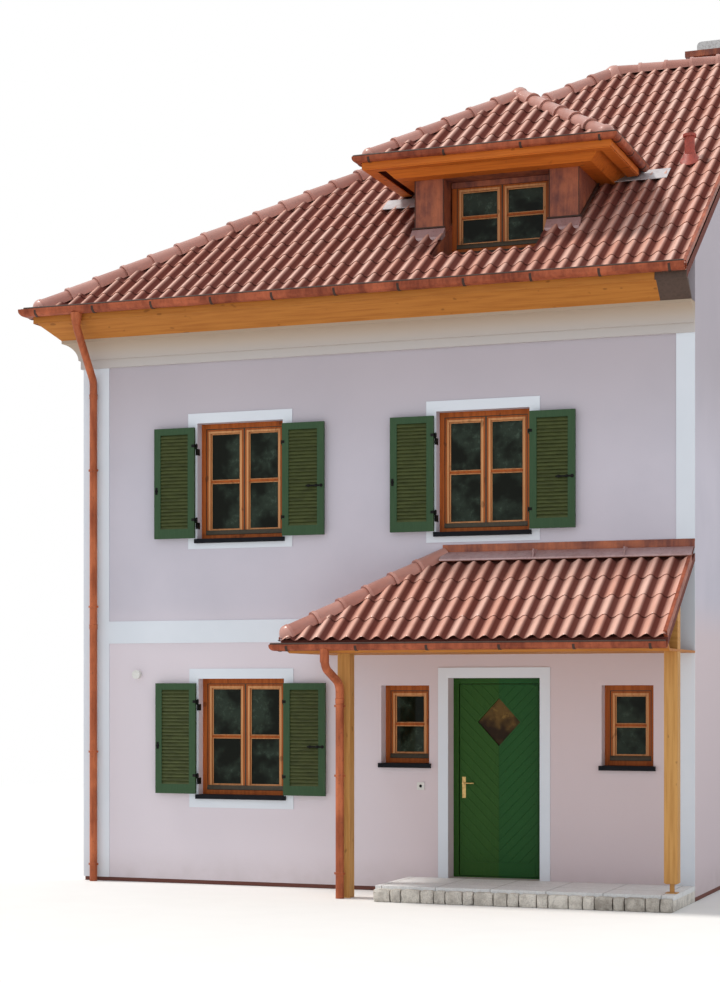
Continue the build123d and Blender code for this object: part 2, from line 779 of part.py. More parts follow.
# The lined niche in front of the dormer's window
NICHE_RISE = NICHE_UP / (WINDOW_Y - NICHE_Y)
niche_end = main_roof_z(NICHE_Y) + NICHE_RISE * (PIER_BACK - NICHE_Y)
with BuildPart() as dormer_niche:
    add(prism_along_x([
        (NICHE_Y, main_roof_z(NICHE_Y)),
        (PIER_BACK, niche_end),
        (PIER_BACK, niche_end - DORMER_SILL_T),
        (NICHE_Y, main_roof_z(NICHE_Y) - DORMER_SILL_T),
    ], DORMER_MID - NICHE_HALF, DORMER_MID + NICHE_HALF))
    for x in (DORMER_MID - NICHE_HALF, DORMER_MID + NICHE_HALF - LINING_T):
        add(prism_along_x([
            (NICHE_Y, main_roof_z(NICHE_Y)),
            (PIER_BACK, main_roof_z(PIER_BACK)),
            (PIER_BACK, niche_end - DORMER_SILL_T),
            (NICHE_Y, main_roof_z(NICHE_Y) - DORMER_SILL_T),
        ], x, x + LINING_T))
keep(dormer_niche.part, "dormer_niche")


# Porch roof, its eaves, its timber frame and its gutter
PORCH_DROP = PORCH_T / cos(radians(PITCH))
PORCH_L, PORCH_F = RIGHT - PORCH_W, FRONT - PORCH_REACH
PORCH_AT_EAVE = GROUND_TOP + PORCH_EAVE_UP
PORCH_WALL_Z = PORCH_AT_EAVE + PORCH_REACH * RISE
PORCH_FAR = 3 * PORCH_REACH


def porch_space(drop):
    """All that lies under the porch roof's upper face, lowered by drop."""
    eave = PORCH_AT_EAVE - drop
    high = eave + PORCH_FAR * RISE
    with BuildPart() as made:
        add(prism_along_x(
            [(PORCH_F, eave), (PORCH_F + PORCH_FAR, high), (PORCH_F + PORCH_FAR, 0),
             (PORCH_F, 0)],
            PORCH_L, RIGHT,
        ))
        add(prism_along_y(
            [(PORCH_L, eave), (PORCH_L + PORCH_FAR, high), (RIGHT, high), (RIGHT, 0),
             (PORCH_L, 0)],
            PORCH_F, FRONT,
        ), mode=Mode.INTERSECT)
    return made.part


PORCH_UPPER = porch_space(0)
PORCH_UNDER = porch_space(PORCH_DROP)
with BuildPart() as porch_roof:
    add(PORCH_UPPER)
    add(PORCH_UNDER, mode=Mode.SUBTRACT)
keep(porch_roof.part, "porch_roof")

PORCH_PATH = [(PORCH_L, FRONT), (PORCH_L, PORCH_F), (RIGHT, PORCH_F)]
keep(
    mitred_run(
        PORCH_PATH,
        gutter_outline(SEAT + SMALL_GUTTER_R, PORCH_AT_EAVE - GUTTER_RIM_UP, SMALL_GUTTER_R),
        3 * SMALL_GUTTER_R,
    ),
    "porch_gutter",
)

def under_porch(out):
    """Height of the porch roof's underside at a distance outside the ceiling's inner line."""
    return PORCH_AT_EAVE - PORCH_DROP + (CEILING_IN - out) * RISE


CEILING = PORCH_AT_EAVE - CEILING_DOWN
ceiling_l, ceiling_f = PORCH_L + CEILING_IN, PORCH_F + CEILING_IN
with BuildPart() as porch_ceiling:
    add(mitred_run([(ceiling_l, FRONT), (ceiling_l, ceiling_f), (RIGHT, ceiling_f)], closed_outline([
        (0, CEILING),
        (CEILING_EDGE, CEILING),
        (CEILING_TIP, under_porch(CEILING_TIP)),
        (CEILING_TIP - EAVE_BOARD_T, under_porch(CEILING_TIP - EAVE_BOARD_T)),
        (CEILING_EDGE - EAVE_BOARD_T / 2, CEILING + EAVE_BOARD_T),
        (0, CEILING + EAVE_BOARD_T),
    ]), CEILING_IN))
    add(block(ceiling_l, RIGHT, ceiling_f, FRONT, CEILING, CEILING + EAVE_BOARD_T))
keep(porch_ceiling.part, "porch_ceiling")

POST_L, POST_R = PORCH_L + POST_IN, RIGHT - POST
POST_F = PORCH_F + POST_IN
POST_FOOT = GROUND_TOP + SHOE_H
POST_B = POST_F + POST
beam_z = CEILING + EAVE_BOARD_T
with BuildPart() as porch_beams:
    add(block(POST_L, RIGHT, POST_F, POST_B, beam_z, beam_z + BEAM_H))
    add(block(POST_L, POST_L + POST, POST_B, FRONT, beam_z, beam_z + BEAM_H))
    for x in (POST_L, POST_R):
        add(block(x, x + POST, POST_F, POST_B, beam_z, PORCH_WALL_Z))
    add(PORCH_UNDER, mode=Mode.INTERSECT)
keep(porch_beams.part, "porch_beams")

SHOE_AT = (POST_R + POST / 2, POST_F + POST / 2)
with BuildPart() as porch_posts:
    add(block(POST_L, POST_L + POST, POST_F, POST_B, 0, CEILING))
    add(block(POST_R, POST_R + POST, POST_F, POST_B, POST_FOOT, CEILING))
    for z in (GROUND_TOP, POST_FOOT - SHOE_T):
        with BuildSketch(Plane.XY.offset(z)):
            with Locations(SHOE_AT):
                Rectangle(POST - 2 * SHOE_IN, POST - 2 * SHOE_IN)
        extrude(amount=SHOE_T)
    with BuildSketch(Plane.XY.offset(GROUND_TOP)):
        with Locations(SHOE_AT):
            Circle(SHOE_R)
    extrude(amount=POST_FOOT - GROUND_TOP)
keep(porch_posts.part, "porch_posts")

flash_left = PORCH_L + PORCH_REACH
with BuildPart() as porch_flashing:
    add(prism_along_x([
        (FRONT - TRIM_T, PORCH_WALL_Z + FLASH_UP),
        (FRONT - TRIM_T - FLASH_T, PORCH_WALL_Z + FLASH_UP),
        (FRONT - TRIM_T - FLASH_T, PORCH_WALL_Z + TILE_UP + FLASH_T),
        (FRONT - FLASH_OUT, PORCH_WALL_Z + TILE_UP + FLASH_T - FLASH_OUT * RISE),
        (FRONT - FLASH_OUT, PORCH_WALL_Z + TILE_UP - FLASH_OUT * RISE),
        (FRONT - TRIM_T, PORCH_WALL_Z + TILE_UP),
    ], flash_left, RIGHT))
    add(block(
        flash_left, RIGHT, FRONT - TRIM_T, FRONT,
        PORCH_WALL_Z + FLASH_UP - FLASH_LIP, PORCH_WALL_Z + FLASH_UP,
    ))
keep(porch_flashing.part, "porch_flashing")


# White plaster trim, a little proud of the walls
def surround(side, o, foot):
    """The white band round a window's opening, down to foot."""
    with BuildPart() as made:
        with BuildSketch(wall_frame(side)):
            high = o.foot + o.height + SURROUND_W
            with Locations((o.centre, (foot + high) / 2)):
                Rectangle(o.width + 2 * SURROUND_W, high - foot)
            cut_opening(o)
        extrude(amount=TRIM_T)
    return made.part


HOUSE_CORE = block(LEFT, RIGHT, FRONT, BACK, 0, CORNICE_TOP)
with BuildPart() as wall_bands:
    add(block(LEFT - TRIM_T, RIGHT, FRONT - TRIM_T, BACK + TRIM_T, STRING_FOOT, STRING_TOP))
    add(PORCH_UPPER, mode=Mode.SUBTRACT)
    for y0, y1 in ((FRONT - TRIM_T, FRONT + CORNER_BAND), (BACK - CORNER_BAND, BACK + TRIM_T)):
        add(block(LEFT - TRIM_T, LEFT + CORNER_BAND, y0, y1, BASE_H, CORNICE_FOOT))
    add(block(RIGHT - PARTY_BAND, RIGHT, FRONT - TRIM_T, BACK + TRIM_T, GROUND_TOP, CORNICE_FOOT))
    add(HOUSE_CORE, mode=Mode.SUBTRACT)
    add(porch_roof.part, mode=Mode.SUBTRACT)
    add(porch_ceiling.part, mode=Mode.SUBTRACT)
    add(porch_flashing.part, mode=Mode.SUBTRACT)
keep(wall_bands.part, "wall_bands")

with BuildPart() as window_surrounds:
    add(surround("front", LOW_WINDOW, LOW_SILL - SILL_T - APRON_LOW))
    for o in HIGH_WINDOWS:
        add(surround("front", o, o.foot - SILL_T - APRON_HIGH))
    for o in SIDE_WINDOWS:
        add(surround("side", o, o.foot - SILL_T - APRON_REST))
    for o in BACK_WINDOWS:
        add(surround("back", o, o.foot - SILL_T - APRON_REST))
    with BuildSketch(wall_frame("front")):
        with Locations((DOOR.centre, (GROUND_TOP + DOOR_TOP + SURROUND_W) / 2)):
            Rectangle(DOOR.width + 2 * SURROUND_W, DOOR_TOP + SURROUND_W - GROUND_TOP)
        with Locations((DOOR.centre, DOOR_TOP / 2)):
            Rectangle(DOOR.width, DOOR_TOP, mode=Mode.SUBTRACT)
    extrude(amount=TRIM_T)
keep(window_surrounds.part, "window_surrounds")


# Hip and ridge caps: barrels that sit over the edges where two slopes meet
def barrel(a, b, space):
    """A hollow barrel from a to b, cut to sit on the slopes of the space below it."""
    with BuildPart() as made:
        with BuildSketch(Plane(origin=a, z_dir=Vector(*b) - Vector(*a))):
            RegularPolygon(CAP_R, CAP_SIDES)
            RegularPolygon(CAP_R - CAP_WALL, CAP_SIDES, mode=Mode.SUBTRACT)
        extrude(amount=(Vector(*b) - Vector(*a)).length)
        add(space, mode=Mode.SUBTRACT)
    return made.part


def hip_barrel(corner, apex, space):
    """The barrel of a hip, from just inside the eave's corner up to the apex cap."""
    low, high = Vector(*corner), Vector(*apex)
    run = (high - low) * (1 / abs(high.X - low.X))
    return barrel(tuple(low + run * CAP_START), tuple(high - run * CAP_JOIN), space)


def apex_cap(apex, space):
    """The cap that closes the meeting of the hips and the ridge."""
    x, y, z = apex
    with BuildPart() as made:
        with BuildSketch(Plane.XY.offset(z - CAP_CREST)):
            with Locations((x, y)):
                RectangleRounded(
                    2 * (CAP_JOIN - CAP_EDGE), 2 * (CAP_JOIN - CAP_EDGE), CAP_R / 2,
                )
        extrude(amount=CAP_R + CAP_CREST, taper=CAP_TAPER)
        add(space, mode=Mode.SUBTRACT)
    return made.part


MAIN_APEX = (APEX_X, 0, RIDGE_Z)
DORMER_APEX = (DORMER_MID, DORMER_APEX_Y, DORMER_RIDGE)
with BuildPart() as roof_caps:
    add(hip_barrel((EAVE_L, EAVE_F, EAVE_Z), MAIN_APEX, MAIN_UPPER))
    add(hip_barrel((EAVE_L, EAVE_B, EAVE_Z), MAIN_APEX, MAIN_UPPER))
    add(barrel((APEX_X + CAP_JOIN, 0, RIDGE_Z), (RIGHT, 0, RIDGE_Z), MAIN_UPPER))
    add(apex_cap(MAIN_APEX, MAIN_UPPER))

DORMER_UPPER = dormer_space(0)
with BuildPart() as dormer_caps:
    for x in (DORMER_MID - DORMER_HALF, DORMER_MID + DORMER_HALF):
        add(hip_barrel((x, DORMER_EAVE_Y, DORMER_EAVE), DORMER_APEX, DORMER_UPPER))
    add(barrel(
        (DORMER_MID, DORMER_APEX_Y + CAP_JOIN, DORMER_RIDGE), (DORMER_MID, DORMER_FAR, DORMER_RIDGE),
        DORMER_UPPER,
    ))
    add(apex_cap(DORMER_APEX, DORMER_UPPER))
    add(MAIN_UPPER, mode=Mode.SUBTRACT)

PORCH_HIP_TOP = (PORCH_L + PORCH_REACH, FRONT, PORCH_WALL_Z)
porch_cap_end = tuple(
    Vector(*PORCH_HIP_TOP) + Vector(1, 1, RISE) * CAP_R
)
with BuildPart() as porch_caps:
    add(barrel(
        (PORCH_L + CAP_START, PORCH_F + CAP_START, PORCH_AT_EAVE + CAP_START * RISE),
        porch_cap_end, PORCH_UPPER,
    ))
    add(block(LEFT, RIGHT, FRONT - TRIM_T, BACK, 0, RIDGE_Z), mode=Mode.SUBTRACT)
    add(porch_flashing.part, mode=Mode.SUBTRACT)
    add(wall_bands.part, mode=Mode.SUBTRACT)
with BuildPart() as hip_and_ridge_caps:
    for caps in (roof_caps, dormer_caps, porch_caps):
        add(caps.part)
keep(hip_and_ridge_caps.part, "hip_and_ridge_caps")


# Windows: a fixed frame, two sashes with a glazing bar each, and one sheet of glass
def joinery(frame, o, back, sashes):
    """The wooden frame, sashes and bars of a window, in front of its glass."""
    in_w, in_h = o.width - 2 * FRAME_W, o.height - 2 * FRAME_W
    sash_w = in_w / sashes
    middle = o.foot + o.height / 2
    with BuildPart() as made:
        with BuildSketch(frame.offset(-back - FRAME_T)):
            with Locations((o.centre, middle)):
                Rectangle(o.width, o.height)
                Rectangle(in_w, in_h, mode=Mode.SUBTRACT)
        extrude(amount=FRAME_T)
        with BuildSketch(frame.offset(-back - FRAME_T)):
            for i in range(sashes):
                x = o.centre + (i - (sashes - 1) / 2) * sash_w
                with Locations((x, middle)):
                    Rectangle(sash_w, in_h)
                    Rectangle(sash_w - 2 * SASH_W, in_h - 2 * SASH_W, mode=Mode.SUBTRACT)
        extrude(amount=SASH_T)
        with BuildSketch(frame.offset(-back - FRAME_T + SASH_T - BAR_T)):
            for i in range(sashes):
                x = o.centre + (i - (sashes - 1) / 2) * sash_w
                with Locations((x, middle)):
                    Rectangle(sash_w - 2 * SASH_W, BAR_W)
        extrude(amount=BAR_T)
    return made.part


def panes(frame, o, back, sashes):
    """The sheets of glass of a window, one for each sash, behind the bars."""
    in_w, in_h = o.width - 2 * FRAME_W, o.height - 2 * FRAME_W
    sash_w = in_w / sashes
    with BuildPart() as made:
        with BuildSketch(frame.offset(-back - FRAME_T + SASH_T - BAR_T - GLASS_T)):
            for i in range(sashes):
                x = o.centre + (i - (sashes - 1) / 2) * sash_w
                with Locations((x, o.foot + o.height / 2)):
                    Rectangle(sash_w - 2 * SASH_W, in_h - 2 * SASH_W)
        extrude(amount=GLASS_T)
    return made.part


def sill(side, o, depth, reach):
    """A slate sill through the wall, with ears in front of the plaster."""
    frame = wall_frame(side)
    with BuildPart() as made:
        with BuildSketch(frame.offset(-depth)):
            with Locations((o.centre, o.foot - SILL_T / 2)):
                Rectangle(o.width, SILL_T)
        extrude(amount=depth + reach)
        with BuildSketch(frame.offset(TRIM_T)):
            with Locations((o.centre, o.foot - SILL_T / 2)):
                Rectangle(o.width + 2 * SILL_SIDE, SILL_T)
        extrude(amount=reach - TRIM_T)
    return made.part


DORMER_WINDOW = Opening(
    WIDTH - DORMER_FROM_PARTY, DORMER_WINDOW_FOOT, 2 * (NICHE_HALF - LINING_T), DORMER_WINDOW_H,
)
with BuildPart() as front_windows:
    for o in [LOW_WINDOW] + HIGH_WINDOWS:
        add(joinery(wall_frame("front"), o, FRAME_BACK, 2))
    for o in SMALL_WINDOWS:
        add(joinery(wall_frame("front"), o, SMALL_BACK, 1))
keep(front_windows.part, "front_windows")
with BuildPart() as dormer_window:
    add(joinery(wall_frame("front"), DORMER_WINDOW, WINDOW_Y - FRONT, 2))
keep(dormer_window.part, "dormer_window")
with BuildPart() as side_and_back_windows:
    for side, row in (("side", SIDE_WINDOWS), ("back", BACK_WINDOWS)):
        for o in row:
            add(joinery(wall_frame(side), o, FRAME_BACK, 2))
keep(side_and_back_windows.part, "side_and_back_windows")
with BuildPart() as window_glass:
    for o in [LOW_WINDOW] + HIGH_WINDOWS:
        add(panes(wall_frame("front"), o, FRAME_BACK, 2))
    for o in SMALL_WINDOWS:
        add(panes(wall_frame("front"), o, SMALL_BACK, 1))
    add(panes(wall_frame("front"), DORMER_WINDOW, WINDOW_Y - FRONT, 2))
    for side, row in (("side", SIDE_WINDOWS), ("back", BACK_WINDOWS)):
        for o in row:
            add(panes(wall_frame(side), o, FRAME_BACK, 2))
keep(window_glass.part, "window_glass")
with BuildPart() as window_sills:
    for side, row in (
        ("front", [LOW_WINDOW] + HIGH_WINDOWS + SMALL_WINDOWS),
        ("side", SIDE_WINDOWS),
        ("back", BACK_WINDOWS),
    ):
        for o in row:
            add(sill(side, o, WALL_T, SILL_REACH))
keep(window_sills.part, "window_sills")


# Front door: a frame in the recess, a leaf that opens inwards, its glass and its furniture
door_l, door_r = LEFT + DOOR_L, LEFT + DOOR_R
door_y = FRONT + DOOR_BACK
leaf_l = door_l + DOOR_FRAME_W + LOCK_GAP
leaf_r = door_r - DOOR_FRAME_W - LEAF_GAP
leaf_foot = DOOR.foot + LEAF_GAP
leaf_top = DOOR_TOP - DOOR_FRAME_W - LEAF_GAP
leaf_y = door_y + LEAF_GAP
leaf_back = leaf_y + LEAF_T
leaf_x = (leaf_l + leaf_r) / 2
diamond_z = GROUND_TOP + DIAMOND_UP
door_axis_x = leaf_r + LEAF_GAP
door_axis_y = door_y + DOOR_FRAME_T + DOOR_HINGE_R + PIN_CLEAR
HINGE_SPOTS = [
    leaf_foot + DOOR_HINGE_IN, (leaf_foot + leaf_top) / 2, leaf_top - DOOR_HINGE_IN,
]
with BuildPart() as door_frame:
    with BuildSketch(wall_frame("front").offset(-DOOR_BACK - DOOR_FRAME_T)):
        with Locations((DOOR.centre, (GROUND_TOP + DOOR_TOP) / 2)):
            Rectangle(DOOR.width, DOOR_TOP - GROUND_TOP)
        with Locations((DOOR.centre, (GROUND_TOP + DOOR_TOP - DOOR_FRAME_W) / 2)):
            Rectangle(
                DOOR.width - 2 * DOOR_FRAME_W, DOOR_TOP - DOOR_FRAME_W - GROUND_TOP,
                mode=Mode.SUBTRACT,
            )
    extrude(amount=DOOR_FRAME_T)
    add(block(door_l, door_r, door_y, door_y + DOOR_FRAME_T, GROUND_TOP, DOOR.foot))
keep(door_frame.part, "door_frame")


def diamond(grow):
    """The outline of the door's standing diamond, with its half sizes grown."""
    half_w, half_h = DIAMOND_W / 2 + grow, DIAMOND_H / 2 + grow * DIAMOND_H / DIAMOND_W
    return closed_outline([
        (leaf_x - half_w, diamond_z), (leaf_x, diamond_z + half_h),
        (leaf_x + half_w, diamond_z), (leaf_x, diamond_z - half_h),
    ])


with BuildPart() as front_door:
    with BuildSketch(Plane.XZ.offset(-leaf_back)):
        with Locations((leaf_x, (leaf_foot + leaf_top) / 2)):
            Rectangle(leaf_r - leaf_l, leaf_top - leaf_foot)
    extrude(amount=LEAF_T)
    with BuildSketch(Plane.XZ.offset(-leaf_y)):
        add(diamond(DIAMOND_RIM))
        with Locations((leaf_x, leaf_foot + WEATHER_H / 2)):
            Rectangle(leaf_r - leaf_l - 2 * WEATHER_IN, WEATHER_H)
    extrude(amount=WEATHER_OUT)
    with BuildSketch(Plane.XZ.offset(-leaf_back)):
        add(diamond(0))
    extrude(amount=LEAF_T + WEATHER_OUT, mode=Mode.SUBTRACT)
    for z in HINGE_SPOTS:
        with BuildSketch(Plane.XY.offset(z)):
            with Locations((door_axis_x, door_axis_y)):
                Circle(DOOR_HINGE_R)
        extrude(amount=DOOR_HINGE_H)
        add(block(
            leaf_r - DOOR_HINGE_R, door_axis_x, door_axis_y - DOOR_ARM_T / 2,
            door_axis_y + DOOR_ARM_T / 2, z, z + DOOR_HINGE_H,
        ))
        add(block(
            leaf_r - DOOR_HINGE_R, leaf_r - DOOR_HINGE_R + DOOR_ARM_T, leaf_back,
            door_axis_y + DOOR_ARM_T / 2, z, z + DOOR_HINGE_H,
        ))
keep(front_door.part, "front_door")

with BuildPart() as door_glass:
    with BuildSketch(Plane.XZ.offset(-(leaf_y + leaf_back + GLASS_T) / 2)):
        add(diamond(0))
    extrude(amount=GLASS_T)
keep(door_glass.part, "door_glass")

lever_x = leaf_l + LEVER_IN
lever_z = GROUND_TOP + LEVER_UP
with BuildPart() as door_handles:
    for face, out in ((leaf_y, -1), (leaf_back, 1)):
        y0, y1 = sorted((face, face + out * HANDLE_T))
        add(block(
            lever_x - HANDLE_W / 2, lever_x + HANDLE_W / 2, y0, y1,
            lever_z - HANDLE_BELOW, lever_z + HANDLE_ABOVE,
        ))
        y0, y1 = sorted((face, face + out * STEM_OUT))
        with BuildSketch(Plane.XZ.offset(-y1)):
            with Locations((lever_x, lever_z)):
                RegularPolygon(STEM_R, PIN_SIDES)
        extrude(amount=y1 - y0)
        with BuildSketch(Plane.YZ.offset(lever_x)):
            with Locations((face + out * (STEM_OUT - STEM_R), lever_z)):
                RegularPolygon(LEVER_R, PIN_SIDES)
        extrude(amount=LEVER_LONG)
keep(door_handles.part, "door_handles")


# Shutters: louvred leaves on pintles at the edges of the front's large windows
SLAT_PITCH = (SHUTTER_H - TOP_RAIL - BOTTOM_RAIL) / SLATS
SLAT_DEEP = SHUTTER_T - 2 * SLAT_EDGE - SLAT_T * cos(radians(SLAT_TILT))
SLAT_W = SLAT_DEEP / sin(radians(SLAT_TILT))


def louvre(frame, x0, x1, foot, middle):
    """A bank of tilted slats between two stiles, their lower edges towards the viewer."""
    side = Plane(origin=frame.origin + frame.x_dir * x0, x_dir=frame.z_dir, z_dir=-frame.x_dir)
    with BuildPart() as made:
        with BuildSketch(side):
            with Locations(*[(middle, foot + SLAT_PITCH * (i + 0.5)) for i in range(SLATS)]):
                Rectangle(SLAT_W, SLAT_T, rotation=SLAT_TILT - 90)
        extrude(amount=x0 - x1)
    return made.part


def leaf_axis(frame, edge):
    """The point on a leaf's hinge axis at the height of the ground."""
    return frame.origin + frame.x_dir * edge + frame.z_dir * HINGE_OUT


def twelve_sided(at, radius):
    """The section of a forged pin or eye, given the radius of its flats."""
    with BuildSketch(Plane(origin=at)) as section:
        RegularPolygon(radius, PIN_SIDES, major_radius=False)
    return section.sketch


def shutter(o, hand, frame, hinged):
    """A leaf folded open beside a window; hand is -1 at its left and 1 at its right."""
    edge = o.centre + hand * o.width / 2
    x0, x1 = sorted((edge + hand * HINGE_GAP, edge + hand * (HINGE_GAP + LEAF_W)))
    z0 = o.foot + SHUTTER_UP
    z1 = z0 + SHUTTER_H
    back = HINGE_OUT + STRAP_T if hinged else TRIM_T
    field_x, field_z = (x0 + x1) / 2, (z0 + BOTTOM_RAIL + z1 - TOP_RAIL) / 2
    field_w, field_h = LEAF_W - 2 * STILE_W, SHUTTER_H - TOP_RAIL - BOTTOM_RAIL
    with BuildPart() as made:
        with BuildSketch(frame.offset(back)):
            with Locations((field_x, (z0 + z1) / 2)):
                Rectangle(LEAF_W, SHUTTER_H)
            with Locations((field_x, field_z)):
                Rectangle(field_w, field_h, mode=Mode.SUBTRACT)
        extrude(amount=SHUTTER_T)
        if hinged:
            add(louvre(
                frame, x0 + STILE_W - SLAT_HOLD, x1 - STILE_W + SLAT_HOLD, z0 + BOTTOM_RAIL,
                back + SHUTTER_T / 2,
            ))
            for z in (z0 + HINGE_UP, z1 - HINGE_UP - KNUCKLE_H):
                knuckle = leaf_axis(frame, edge) + Vector(0, 0, z)
                add(twelve_sided(knuckle, PIN_R + PIN_CLEAR + KNUCKLE_WALL))
                extrude(amount=KNUCKLE_H)
                with BuildSketch(frame.offset(HINGE_OUT)):
                    with Locations((edge + hand * STRAP_LONG / 2, z + KNUCKLE_H / 2)):
                        Rectangle(STRAP_LONG, KNUCKLE_H)
                extrude(amount=STRAP_T)
                add(twelve_sided(knuckle, PIN_R + PIN_CLEAR))
                extrude(amount=KNUCKLE_H, mode=Mode.SUBTRACT)
        else:
            with BuildSketch(frame.offset(back + PANEL_IN)):
                with Locations((field_x, field_z)):
                    Rectangle(field_w, field_h)
            extrude(amount=SHUTTER_T - 2 * PANEL_IN)
    return made.part


SHUTTER_WINDOWS = (
    ("low", LOW_WINDOW), ("upper_left", HIGH_WINDOWS[0]), ("upper_right", HIGH_WINDOWS[1]),
)
for name, o in SHUTTER_WINDOWS:
    for hand, side in ((-1, "left"), (1, "right")):
        keep(shutter(o, hand, wall_frame("front"), True), f"shutter_{name}_{side}")
with BuildPart() as fixed_shutters:
    for side, row in (("side", SIDE_WINDOWS), ("back", BACK_WINDOWS)):
        for o in row:
            for hand in (-1, 1):
                add(shutter(o, hand, wall_frame(side), False))
keep(fixed_shutters.part, "side_and_back_shutters")

with BuildPart() as shutter_pins:
    frame = wall_frame("front")
    for name, o in SHUTTER_WINDOWS:
        for hand in (-1, 1):
            edge = o.centre + hand * o.width / 2
            z0 = o.foot + SHUTTER_UP
            for z in (z0 + HINGE_UP, z0 + SHUTTER_H - HINGE_UP - KNUCKLE_H):
                foot = leaf_axis(frame, edge) + Vector(0, 0, z - SEAT - ARM_H)
                add(twelve_sided(foot, PIN_R * cos(radians(180 / PIN_SIDES))))
                extrude(amount=ARM_H + SEAT + KNUCKLE_H + PIN_R)
                with BuildSketch(frame.offset(TRIM_T)):
                    with Locations((edge + hand * ARM_LONG / 2, z - SEAT - ARM_H / 2)):
                        Rectangle(ARM_LONG, ARM_H)
                extrude(amount=HINGE_OUT - TRIM_T)
keep(shutter_pins.part, "shutter_pins")


# Downpipes, with a swan neck under the gutter and clamps on the wall or the post
def pipe(points):
    """A round pipe along straight runs with mitred bends."""
    with BuildPart() as made:
        with BuildLine() as route:
            Polyline(*points)
        with BuildSketch(Plane(origin=route.line @ 0, z_dir=route.line % 0)):
            RegularPolygon(PIPE_R, PIPE_SIDES)
        sweep(transition=Transition.RIGHT)
    return made.part


def clamps(x, y, to, heights):
    """The collars that hold a pipe, each with an arm to the face behind it."""
    with BuildPart() as made:
        for z in heights:
            with BuildSketch(Plane.XY.offset(z)):
                with Locations((x, y)):
                    RegularPolygon(PIPE_R + CLAMP_T, PIPE_SIDES)
                with Locations((x, (y + to) / 2)):
                    Rectangle(CLAMP_ARM, to - y)
            extrude(amount=CLAMP_H)
    return made.part


main_pipe_x, main_pipe_y = LEFT + MAIN_PIPE_IN, FRONT - PIPE_GAP - PIPE_R
main_drop_y = FRONT - EAVE_REACH - SEAT - GUTTER_R
main_gutter_foot = EAVE_Z + GUTTER_RIM_UP - GUTTER_SIDE - GUTTER_R
porch_pipe_x, porch_pipe_y = POST_L + PORCH_PIPE_IN, POST_F - PORCH_PIPE_GAP - PIPE_R
porch_drop_y = PORCH_F - SEAT - SMALL_GUTTER_R
porch_gutter_foot = PORCH_AT_EAVE - GUTTER_RIM_UP - GUTTER_SIDE - SMALL_GUTTER_R
with BuildPart() as downpipes:
    add(pipe([
        (main_pipe_x, main_drop_y, main_gutter_foot),
        (main_pipe_x, main_drop_y, main_gutter_foot - PIPE_NECK),
        (main_pipe_x, main_pipe_y, CORNICE_FOOT - PIPE_TURN_DOWN),
        (main_pipe_x, main_pipe_y, 0),
    ]))
    add(clamps(main_pipe_x, main_pipe_y, FRONT - TRIM_T, MAIN_CLAMPS))
    add(pipe([
        (porch_pipe_x, porch_drop_y, porch_gutter_foot),
        (porch_pipe_x, porch_drop_y, porch_gutter_foot - PORCH_NECK),
        (porch_pipe_x, porch_pipe_y, porch_gutter_foot - 2 * PORCH_NECK),
        (porch_pipe_x, porch_pipe_y, 0),
    ]))
    add(clamps(porch_pipe_x, porch_pipe_y, POST_F, PORCH_CLAMPS))
keep(downpipes.part, "downpipes")


# Terrace: a stone plate on a bed with a row of setts before it
TERRACE_L = POST_L + POST + TERRACE_GAP
with BuildPart() as terrace_kerb:
    add(block(TERRACE_L, RIGHT, FRONT - TERRACE_REACH, FRONT, 0, GROUND_TOP - PLATE_T))
    add(block(
        TERRACE_L, RIGHT, FRONT - TERRACE_REACH - SETT_W, FRONT - TERRACE_REACH, 0,
        GROUND_TOP - SETT_DOWN,
    ))
keep(terrace_kerb.part, "terrace_kerb")
keep(
    block(TERRACE_L, RIGHT, FRONT - TERRACE_REACH, FRONT, GROUND_TOP - PLATE_T, GROUND_TOP),
    "terrace_plate",
)


# Chimney behind the ridge and the vent pipe on the front slope
CHIMNEY_TOP = RIDGE_Z + CHIMNEY_OVER_RIDGE
with BuildPart() as chimney:
    add(block(
        chimney_x - CHIMNEY_W / 2, chimney_x + CHIMNEY_W / 2, chimney_y - CHIMNEY_D / 2,
        chimney_y + CHIMNEY_D / 2, ROOF_AT_WALL, CHIMNEY_TOP - SLAB_T,
    ))
    add(block(
        chimney_x - CHIMNEY_W / 2 - SLAB_OUT, chimney_x + CHIMNEY_W / 2 + SLAB_OUT,
        chimney_y - CHIMNEY_D / 2 - SLAB_OUT, chimney_y + CHIMNEY_D / 2 + SLAB_OUT,
        CHIMNEY_TOP - SLAB_T, CHIMNEY_TOP,
    ))
    add(MAIN_UPPER, mode=Mode.SUBTRACT)
keep(chimney.part, "chimney")
with BuildPart() as chimney_flue:
    add(block(
        chimney_x - HOOD_W / 2, chimney_x + HOOD_W / 2, chimney_y - HOOD_D / 2,
        chimney_y + HOOD_D / 2, CHIMNEY_TOP, CHIMNEY_TOP + HOOD_H,
    ))
    fillet(chimney_flue.faces().sort_by(Axis.Z)[-1].edges().filter_by(Axis.Y), HOOD_ROUND)
keep(chimney_flue.part, "chimney_flue")
with BuildPart() as vent_pipe:
    with BuildSketch(Plane.XY.offset(ROOF_AT_WALL)):
        with Locations((vent_x, vent_y)):
            RegularPolygon(VENT_R, PIPE_SIDES)
    extrude(amount=main_roof_z(vent_y) + VENT_UP - ROOF_AT_WALL)
    with BuildSketch(Plane.XY.offset(main_roof_z(vent_y) + VENT_UP)):
        with Locations((vent_x, vent_y)):
            RegularPolygon(VENT_R + VENT_CAP_OUT, PIPE_SIDES)
    extrude(amount=VENT_CAP_T)
    add(MAIN_UPPER, mode=Mode.SUBTRACT)
keep(vent_pipe.part, "vent_pipe")

